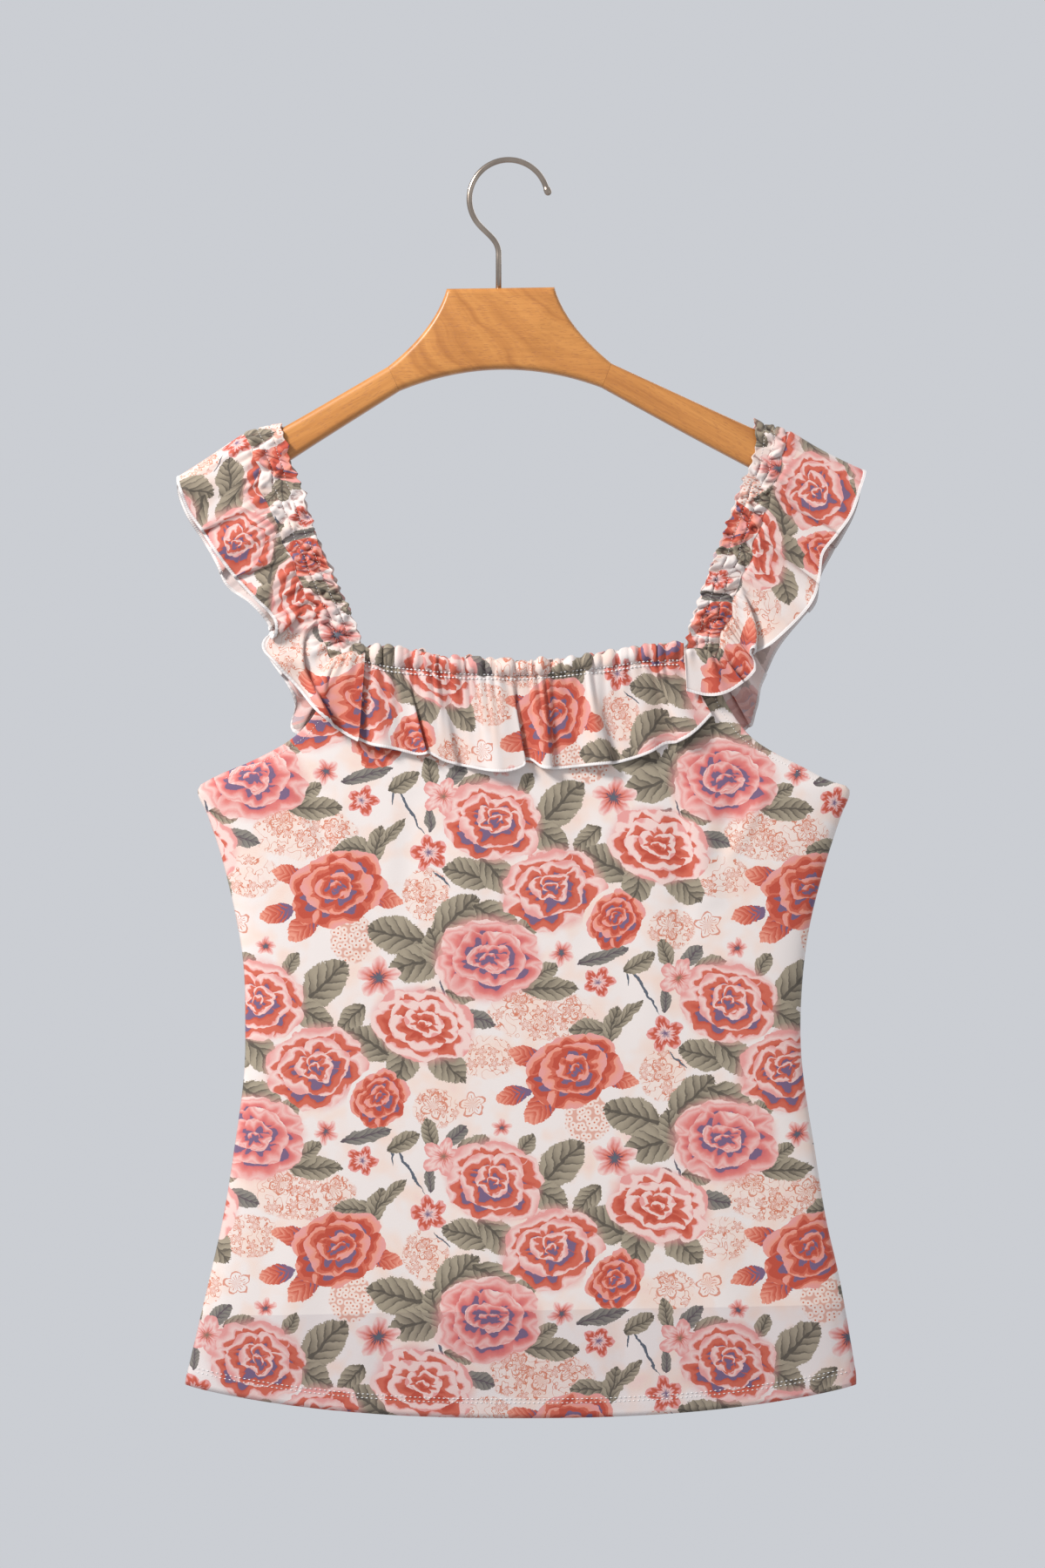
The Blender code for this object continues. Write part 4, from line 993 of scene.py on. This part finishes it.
def body_panel(name, node, side):
    even = np.linspace(-1.0, 1.0, BODY_COLUMNS + 1)
    across = 0.5 * (even + np.sin(0.5 * np.pi * even))
    fine = np.linspace(0.0, len(BODY_LEVELS) - 1, BODY_FINE_ROWS)
    heights = rows_between(BODY_LEVELS, fine)
    middle_z = 0.5 * (heights.left_z + heights.right_z)
    place = np.interp(np.linspace(middle_z[0], middle_z[-1], BODY_ROWS + 1), middle_z, fine)
    across, place = np.meshgrid(across, place)
    middle = body_surface(across, place, side)
    cut = np.stack([-side * middle[..., 0] - PRINT_ORIGIN[0],
                    middle[..., 2] - PRINT_ORIGIN[1]], axis=-1)
    strip = np.stack([middle[..., 0], middle[..., 2] - middle[:1, :, 2]], axis=-1)
    doubled = 1.0 + ease((HEM_DEPTH - strip[..., 1]) / HEM_STEP)
    normals = grid_normals(middle)
    thread = []
    for height in HEM_STITCHES:
        path = np.array([[np.interp(height, strip[:, column, 1], middle[:, column, axis])
                          for axis in range(3)] for column in range(BODY_COLUMNS + 1)])
        thread.append(thread_row(path[3:-3], normals[3, 3:-3], rise=0.65))
    armhole = slice(int(np.argmax(middle[:, 0, 2] > ARMHOLE_START)), BODY_ROWS + 1)
    for column in (ARMHOLE_STITCH, BODY_COLUMNS - ARMHOLE_STITCH):
        thread.append(thread_row(middle[armhole, column], normals[armhole, column], pitch=2.2,
                                 share=0.5, thick=0.26))
    stitching(name + "_stitches", thread)
    panel = cloth(name, node, middle, cut, strip, LINED_PRINT, CLOTH * doubled)


body_panel("panel_front", "body_front", -1)
body_panel("panel_back", "body_back", 1)

# ---- shoulder straps ----------------------------------------------------------------------------
# Each strap is a band shirred on two rows of elastic thread, so that the mesh crumples into fine
# ridges across it and its inner edge frills. It goes over the hanger's arm like an inverted U.

STRAP_DEPTH = 8.0
STRAP_COLUMNS = 520
STRAP_ROWS = 36
CREST_HEIGHT = 6.0
STRAP_GATHER = 1.45                # cloth in the cut for each length of finished strap
STRAP_RISE = 3.2                   # height to which its ridges stand
STRAP_FRILL = 5.0                  # width of the frilled inner edge
FRILL_WAVE, FRILL_SWAY = 0.8, 1.8  # how far that edge waves outwards and sideways
FRILL_CALM, SEAM_CALM = 0.45, 0.75  # how much flatter the ridges are there and at the seam
STRAP_SEAM = 1.3                   # width over which the seam holds them flat
STRAP_HOLLOW = -0.9                # the deepest that the cloth sinks between them
ELASTIC = (0.28, 0.62)             # the two rows of elastic, in shares of the width
ELASTIC_PULL, ELASTIC_WIDTH = 0.7, 0.9

SHOULDER = "inner_x inner_z seam_x seam_z front_x front_z back_x back_z"
LEFT_SHOULDER = table(
    SHOULDER,
    (-144, -165, -166, -172, -209, -201, -209, -199),
    (-140, -181, -161, -184, -207, -208, -210, -208),
    (-136, -194, -157, -197, -202, -221, -204, -223),
    (-131, -206, -155, -211, -193, -234, -195, -237),
    (-125, -226, -147, -227, -183, -249, -186, -252),
    (-120, -239, -140, -244, -173, -262, -179, -267),
    (-112, -258, -133, -260, -160, -276, -164, -278),
    (-107, -270, -128, -272, -150, -286, -153, -291),
    (-102, -281, -123, -284, -147, -294, -154, -302),
    (-97, -292, -119, -294, -155, -306, -153, -311),
    (-94, -302, -116, -304, -147, -317, -144, -324),
    (-91, -317, -112, -313, -133, -332, -136, -340))
RIGHT_SHOULDER = table(
    SHOULDER,
    (156, -164, 176, -171, 225, -197, 223, -195),
    (155, -181, 173, -183, 222, -206, 223, -208),
    (152, -194, 170, -197, 216, -223, 219, -222),
    (147, -206, 165, -210, 207, -236, 213, -234),
    (141, -222, 160, -225, 198, -248, 205, -247),
    (136, -236, 156, -238, 196, -263, 198, -261),
    (131, -250, 151, -253, 191, -278, 195, -277),
    (125, -263, 146, -265, 180, -291, 185, -289),
    (121, -277, 142, -277, 166, -304, 172, -305),
    (117, -287, 139, -287, 154, -311, 165, -319),
    (114, -299, 135, -297, 155, -321, 160, -332),
    (111, -317, 130, -313, 146, -330, 158, -344))


def ridges(seed, length, spacing, heights, reaches=(50.0, 60.0)):
    """Gathers at uneven places along a seam: place, half width, height and reach down the cloth."""
    draw = np.random.default_rng(seed)
    places = []
    place = 0.0
    while place < length:
        step = draw.uniform(*spacing)
        places.append((place + 0.5 * step, 0.42 * step, draw.uniform(*heights),
                       draw.uniform(*reaches)))
        place += step
    return np.array(places).T


def gathered(gathers, along, down=None):
    """Height of the gathers over a grid, from places along the seam and distances from it."""
    places, widths, heights, reaches = gathers
    lines = heights * np.exp(-((along[..., None] - places) / widths) ** 2)
    if down is not None:
        lines = lines * np.exp(-(np.maximum(down, 0.0)[..., None] / reaches) ** 1.5)
    return np.sum(lines, axis=-1)


def crest_fall(drop):
    """How far round the crest the cloth has come: 0 at its top, 1 where it hangs straight."""
    share = 1.0 - np.clip(drop / CREST_HEIGHT, 0.0, 1.0)
    return np.sqrt(1.0 - share * share)


def shoulder_line(rows, steps):
    """Places from the back's foot over the crest to the front's foot, and the side of each."""
    fine = np.linspace(0.0, 1.0, steps // 2)
    places = np.concatenate([fine[::-1], fine[1:]]) * (rows - 1)
    sides = np.concatenate([np.ones(len(fine) - 1), [0.0], -np.ones(len(fine) - 1)])
    return places, sides


def crumples(seed, length, width):
    """Short ridges of a shirred band, one a millimetre.

    Each has its place along and across, reach, width, slant and height.
    """
    draw = np.random.default_rng(seed)
    limits = ((0.0, length), (0.0, width), (3.0, 9.0), (1.0, 3.2), (-0.8, 0.8), (-1.9, 2.6))
    return zip(*[draw.uniform(low, high, int(length)) for low, high in limits])


def crumpled(band, along, across):
    rise = np.zeros(np.broadcast(along, across).shape)
    for place, middle, reach, width, slant, height in band:
        far = (along - place - slant * (across - middle)) / width
        rise += height * np.exp(-far * far - ((across - middle) / reach) ** 4)
    return rise


def seam_drift(z):
    """How far the gathered seam between strap and ruffle strays sideways."""
    return 0.8 * np.sin(z / 2.9) + 0.7 * np.sin(z / 5.1 + 1.0)


def strap(side, shoulder, seed, cut_x, cut_z):
    places, sides = shoulder_line(len(shoulder), STRAP_COLUMNS)
    row = rows_between(shoulder, places)
    across = np.linspace(0.0, 1.0, STRAP_ROWS + 1)[:, None]
    x = blend(row.inner_x, row.seam_x + seam_drift(row.seam_z), across)
    z = blend(row.inner_z, row.seam_z, across)
    drop = blend(shoulder[0].inner_z, shoulder[0].seam_z, across) - z
    base = np.stack([x, sides * STRAP_DEPTH * crest_fall(drop), z], axis=-1)
    width = np.abs(row.seam_x - row.inner_x)
    along = length_along(base[len(base) // 2])
    wave = gathered(ridges(seed, along[-1], spacing=(4.4, 9.5), heights=(0.7, 2.3)), along)
    edge = np.clip(1.0 - across * width / STRAP_FRILL, 0.0, 1.0)
    rise = crumpled(crumples(seed + 1, along[-1], float(width.max())), along, across * width)
    seam = np.exp(-((1.0 - across) * width / STRAP_SEAM) ** 2)
    rise = rise * (1.0 - FRILL_CALM * edge) * (1.0 - SEAM_CALM * seam)
    rise = STRAP_RISE * np.tanh(1.3 * rise / STRAP_RISE) + edge ** 2 * (wave - 0.6) * FRILL_WAVE
    for channel in ELASTIC:
        groove = np.exp(-((across - channel) * width / ELASTIC_WIDTH) ** 2)
        rise -= ELASTIC_PULL * np.maximum(rise, 0.0) * groove
    middle = base + grid_normals(base) * np.maximum(rise, STRAP_HOLLOW)[..., None]
    middle[..., 0] += np.sign(row.inner_x - row.seam_x) * edge * (wave - 0.8) * FRILL_SWAY
    along_all = along * np.ones_like(x)
    cut = np.stack([cut_x + across * width * np.ones_like(x),
                    cut_z + STRAP_GATHER * along_all], axis=-1)
    strip = np.stack([along_all, across * width], axis=-1)
    made = cloth("shirred_strap_" + side, "strap_" + side, middle, cut, strip, PRINT)
    outward = grid_normals(middle)
    channels = [int(channel * STRAP_ROWS) for channel in ELASTIC]
    stitching("shirred_strap_" + side + "_elastic",
              [thread_row(middle[channel, 4:-4], outward[channel, 4:-4], pitch=2.0, share=0.6,
                          thick=0.2, rise=0.4) for channel in channels])


strap("left", LEFT_SHOULDER, 11, 14.0, -500.0)
strap("right", RIGHT_SHOULDER, 23, 10.0, -560.0)

# ---- ruffles ------------------------------------------------------------------------------------
# One strip of the same mesh, overlocked in white along its free edge and gathered on elastic, runs
# round the neck and along both straps. It is cut in four lengths, which lap at the neck's corners.

RUFFLE_GATHER = 1.35
EDGE_BAND = 1.9                    # width of the overlocked edge
EDGE_THICKNESS = 1.3
EDGE_STEP = 0.8                    # over this the edge thins to the bare cloth
RUFFLE_FLARE = 2.0                 # how far the free edge stands off the seam
SEAM_TUCK = 1.6                    # how far down a sewn seam flattens the gathers
# The ruffles' right side: painted shade in its creases, and darker than the body partly as painted
# shade.
RUFFLE_PRINT = [mesh_cloth("edged mesh", edge=EDGE_BAND, crumpled=0.5, shade=GATHERED_TONE_AND_PAINTED_SHADE),
                mesh_cloth("edged mesh wrong side", 0.55, edge=EDGE_BAND)]
RUFFLE_COLUMNS, RUFFLE_ROWS = 440, 44

LAP_DEPTH = 9.0
CORNER = "seam_x seam_z front_x front_z back_x back_z depth"
LEFT_CORNER = table(CORNER, (-105, -311, -121, -346, -137, -357, 11.4),
                    (-98, -309, -107, -358, -117, -367, 12.4),
                    (-90, -310, -94, -366, -86, -371, 13.0))
RIGHT_CORNER = table(CORNER, (125, -309, 135, -336, 153, -356, 11.4),
                     (118, -307, 124, -337, 136, -365, 12.6),
                     (110, -308, 112, -334, 112, -370, 13.4))
# Knife-like folds where the ruffle doubles over itself: from a place on the seam (top) to a place
# on the free edge (foot), with half its width, how far it laps and how high it stands. The lap is
# positive where the cloth at the lower place lies on top.
FOLD = "top foot start half_width lap rise"
# Soft waves of the free edge.
FLUTE = "place half_width rise"


def fold_over(folds, along, level, where):
    """Shift and rise of all the folds over a grid. where turns a fold's place into millimetres."""
    shift = np.zeros(np.broadcast(along, level).shape)
    rise = np.zeros_like(shift)
    for fold in folds:
        line = blend(where(fold.top), where(fold.foot), level)
        grown = np.clip((level - fold.start) / (1.0 - fold.start), 0.0, 1.0) ** 0.7
        turn = (along - line) / fold.half_width
        shape = -turn * np.exp(0.5 * (1.0 - turn * turn)) * grown
        shift += abs(fold.lap) * shape
        rise += math.copysign(fold.rise, fold.lap) * shape
    return shift, rise


def flute_rise(flutes, place):
    return sum(flute.rise * rounded(place - flute.place, flute.half_width) for flute in flutes)


def ruffle(name, node, base, level, along, drops, gathers, folds, where, cut_corner, sewn=0.0,
           extra=0.0):
    """A ruffle on its base surface: gathers at the seam, folds that grow towards the free edge."""
    shift, rise = fold_over(folds, along, level, where)
    sewn_down = 1.0 - sewn * np.exp(-(drops / SEAM_TUCK) ** 2)
    along_all = along * np.ones_like(drops)
    rise = rise + sewn_down * gathered(gathers, along_all, drops)
    curl = gathered(ridges(len(folds) + 3, along[-1], spacing=(5.0, 13.0), heights=(-0.6, 1.3),
                           reaches=(1.0, 1.0)), along)
    rise = rise + curl * np.clip(level, 0.0, 1.0) ** 5 + extra
    tangents = unit(np.gradient(base, axis=1))
    middle = base + grid_normals(base) * rise[..., None] + tangents * shift[..., None]
    from_edge = drops[-1:] - drops
    thickness = CLOTH + (EDGE_THICKNESS - CLOTH) * ease((EDGE_BAND - from_edge) / EDGE_STEP)
    cut = np.stack([cut_corner[0] + RUFFLE_GATHER * along_all, cut_corner[1] - drops], axis=-1)
    strip = np.stack([along_all, from_edge], axis=-1)
    return cloth(name, node, middle, cut, strip, RUFFLE_PRINT, thickness)


def ruffle_levels():
    """Shares from the seam to the free edge, closer together at the sewn edge."""
    body = np.linspace(0.0, 1.0, RUFFLE_ROWS)
    edge = 1.0 - np.array([0.008, 0.016, 0.028, 0.042])
    return np.unique(np.concatenate([body, edge]))[:, None]


def shoulder_ruffle(side, shoulder, corner, front_folds, back_folds, front_flutes, back_flutes,
                    seed, cut_corner):
    depths = [STRAP_DEPTH] * (len(shoulder) - 1) + [LAP_DEPTH]
    rows = table(CORNER, *((*row[2:], depth) for row, depth in zip(shoulder, depths))) + corner
    places, sides = shoulder_line(len(rows), RUFFLE_COLUMNS)
    row = rows_between(rows, places)
    front = sides < 0
    edge_x = np.where(front, row.front_x, row.back_x)
    edge_z = np.where(front, row.front_z, row.back_z)
    crest_z = max(rows[0].front_z, rows[0].back_z)
    raised = crest_z - np.where(front, rows[0].front_z, rows[0].back_z)
    edge_z = edge_z + raised * np.clip(1.0 - places / 0.4, 0.0, 1.0)
    level = ruffle_levels()
    x = blend(row.seam_x + seam_drift(row.seam_z), edge_x, level)
    z = blend(row.seam_z, edge_z, level)
    drop = blend(rows[0].seam_z, crest_z, level) - z
    share = places / (len(rows) - 1)
    flutes = np.where(front, flute_rise(front_flutes, share), flute_rise(back_flutes, share))
    flare = RUFFLE_FLARE * level + flutes * level ** 0.8
    reach = row.depth + flare * np.clip(drop / CREST_HEIGHT, 0.0, 1.0)
    base = np.stack([x, sides * reach * crest_fall(drop), z], axis=-1)
    along = length_along(base[0])
    drops = np.linalg.norm(base - base[:1], axis=2)
    crest = len(places) // 2

    def where(place):
        """Millimetres along the seam of a place in the table, negative on the back."""
        half = slice(crest, None, -1) if place < 0.0 else slice(crest, None)
        return float(np.interp(abs(place), places[half], along[half]))

    folds = front_folds + [fold._replace(top=-fold.top, foot=-fold.foot) for fold in back_folds]
    gathers = ridges(seed, along[-1], spacing=(2.8, 7.2), heights=(0.6, 2.8),
                     reaches=(6.0, 30.0))
    made = ruffle("shoulder_ruffle_" + side, "ruffle_" + side, base, level, along, drops, gathers,
                  folds, where, cut_corner, sewn=0.6)


SHOULDER_BACK_FLUTES = table(FLUTE, (0.08, 0.07, 2.2), (0.22, 0.07, 3.2), (0.37, 0.08, 2.0),
                             (0.52, 0.07, 3.8), (0.67, 0.07, 2.4), (0.82, 0.08, 3.4))
shoulder_ruffle(
    "left", LEFT_SHOULDER, LEFT_CORNER,
    table(FOLD, (3.2, 3.0, 0.25, 4.5, 2.5, 1.6), (5.4, 5.0, 0.05, 4.0, 3.0, 1.6),
          (7.6, 8.4, 0.25, 3.2, 5.0, 2.6), (8.2, 13.0, 0.0, 3.0, 4.6, 2.8),
          (11.6, 12.4, 0.1, 3.0, 3.6, 2.2)),
    table(FOLD, (4.0, 4.4, 0.2, 4.0, 4.0, 2.2), (6.6, 7.2, 0.1, 3.4, 4.6, 2.6),
          (9.2, 10.0, 0.1, 3.4, 4.4, 2.6), (12.0, 12.4, 0.1, 3.2, 4.0, 2.2)),
    table(FLUTE, (0.10, 0.08, 2.0), (0.27, 0.09, 3.4), (0.42, 0.07, 1.8), (0.56, 0.06, 4.0),
          (0.72, 0.06, 2.2), (0.86, 0.08, 3.6)),
    SHOULDER_BACK_FLUTES, 31, (-200.0, 28.0))
shoulder_ruffle(
    "right", RIGHT_SHOULDER, RIGHT_CORNER,
    table(FOLD, (2.6, 2.9, 0.3, 4.5, 2.6, 1.6), (4.8, 5.2, 0.1, 4.0, 3.0, 1.8),
          (7.2, 8.9, 0.02, 3.0, -5.6, 3.6), (10.6, 10.9, 0.2, 3.0, -3.2, 1.8)),
    table(FOLD, (3.4, 3.6, 0.2, 4.0, 4.0, 2.2), (6.0, 6.4, 0.1, 3.4, 4.4, 2.4),
          (8.8, 9.4, 0.1, 3.4, -4.4, 2.6), (11.6, 12.0, 0.1, 3.2, 4.0, 2.2)),
    table(FLUTE, (0.12, 0.09, 2.4), (0.30, 0.07, 1.8), (0.44, 0.08, 3.6), (0.58, 0.07, 2.4),
          (0.72, 0.05, 4.2), (0.86, 0.08, 3.0)),
    SHOULDER_BACK_FLUTES, 47, (-150.0, 26.0))

# Front and back of the neck: the same strip, with a header frill standing above the elastic.

NECK_COLUMNS, HEADER_ROWS = 300, 12
NECK_ROOT = 9.0
NECK_FLARE = 1.6
NECK_END = 0.06                    # share of the line over which the waves die out at each end
HEADER_RISE = 3.0
HEADER_SCALLOP = 2.4
HEADER_STITCHES = (-1.4, 1.3)      # two rows hold the elastic
NECK_LINE = table(
    "stitch_x stitch_z header_z edge_x edge_z",
    (-100, -314, -306, -98, -363), (-89, -317, -307, -86, -368), (-76, -320, -307, -71, -371),
    (-57, -322, -310, -52, -376), (-35, -324, -314, -30, -381), (-13, -325, -315, -6, -385),
    (6, -325, -317, 12, -383), (25, -324, -316, 31, -383), (45, -322, -314, 51, -381),
    (64, -320, -310, 70, -379), (83, -317, -307, 92, -372), (98, -316, -306, 113, -363),
    (110, -316, -304, 128, -349))
# Where the free edge steps up beside a knife-like fold.
NOTCH = "x width lift"


def neck_ruffle(name, side, folds, flutes, notches, seed, cut_corner):
    share = np.linspace(0.0, 1.0, NECK_COLUMNS + 1)
    row = rows_between(NECK_LINE, share * (len(NECK_LINE) - 1))
    level = np.concatenate([np.linspace(-1.0, 0.0, HEADER_ROWS)[:-1][:, None], ruffle_levels()])
    hanging = np.clip(level, 0.0, 1.0)
    standing = np.clip(-level, 0.0, 1.0)
    ends = ease(np.minimum(share, 1.0 - share) / NECK_END)
    along = row.stitch_x - row.stitch_x[0]
    puff = gathered(ridges(seed + 5, along[-1], spacing=(6.0, 12.0), heights=(0.6, 1.5)), along)
    x = row.stitch_x + (row.edge_x - row.stitch_x) * hanging
    z = blend(row.stitch_z, row.header_z + HEADER_SCALLOP * (puff - 0.55), standing)
    lift = sum(notch.lift * np.exp(-((x - notch.x) / notch.width) ** 2) for notch in notches)
    z = z + (row.edge_z - row.stitch_z) * hanging + lift * hanging ** 5
    swell = np.clip((standing - 0.22) / 0.78, 0.0, 1.0)
    depth = NECK_ROOT + HEADER_RISE * puff * np.sin(np.pi * swell ** 0.8) ** 0.7 * ends
    depth = depth + NECK_FLARE * hanging + flute_rise(flutes, share) * hanging ** 0.8 * ends
    base = np.stack([x, side * depth * np.ones_like(x), z], axis=-1)
    drops = np.abs(z - row.stitch_z) * np.sign(level + 1e-6)
    gathers = ridges(seed, along[-1], spacing=(3.4, 8.5), heights=(0.8, 2.7),
                     reaches=(8.0, 38.0))
    wrinkles = gathered(ridges(seed + 9, along[-1], spacing=(2.4, 4.8), heights=(-0.8, 1.2)),
                        along)
    crumple = wrinkles * standing ** 0.5 * ends
    crumple = crumple * ease(np.minimum(along, along[-1] - along) / 10.0)
    made = ruffle("neck_ruffle_" + name, "ruffle_" + name, base, hanging, along, drops, gathers,
                  folds, lambda place: place - row.stitch_x[0], cut_corner, extra=crumple)
    elastic = HEADER_ROWS - 1
    outward = grid_normals(base)[elastic]
    seam = base[elastic] + outward * (gathered(gathers, along) + crumple[elastic])[:, None]
    stitching("neck_ruffle_" + name + "_stitches",
              [thread_row((seam + (0.0, 0.0, height))[3:-3], outward[3:-3], pitch=2.6,
                          share=0.86, thick=0.55, rise=0.75) for height in HEADER_STITCHES])


neck_ruffle(
    "front", -1,
    table(FOLD, (-64, -57, 0.12, 2.8, 4.6, 3.0), (-42, -37, 0.0, 4.5, 1.7, 2.0),
          (3, 1, 0.05, 3.2, 6.0, 4.0), (24, 21, 0.0, 4.5, 1.8, 2.2),
          (52, 59, 0.0, 4.5, 1.9, 2.0), (92, 94, 0.05, 4.0, -2.6, 2.8)),
    table(FLUTE, (0.12, 0.07, 3.4), (0.27, 0.05, 2.4), (0.42, 0.06, 4.4), (0.56, 0.05, 2.6),
          (0.69, 0.06, 3.6), (0.82, 0.05, 2.8), (0.93, 0.05, 1.8)),
    table(NOTCH, (-49.0, 6.0, 3.0), (13.0, 6.5, 5.5), (98.0, 6.0, 2.0)), 61, (-170.0, 25.0))
neck_ruffle(
    "back", 1,
    table(FOLD, (-66, -60, 0.1, 3.0, 5.0, 3.0), (-30, -26, 0.05, 3.0, -4.0, 2.2),
          (-4, 2, 0.05, 3.0, 5.4, 3.2), (36, 40, 0.0, 3.0, 4.2, 2.4),
          (70, 76, 0.05, 3.0, -5.0, 2.8)),
    table(FLUTE, (0.09, 0.07, 2.0), (0.22, 0.06, 3.0), (0.36, 0.07, 1.7), (0.50, 0.06, 3.2),
          (0.63, 0.07, 2.2), (0.78, 0.08, 2.9), (0.92, 0.06, 1.6)),
    table(NOTCH, (-58.0, 7.0, 4.0), (4.0, 6.0, 3.0), (74.0, 7.0, 5.0)), 83, (-110.0, 25.0))
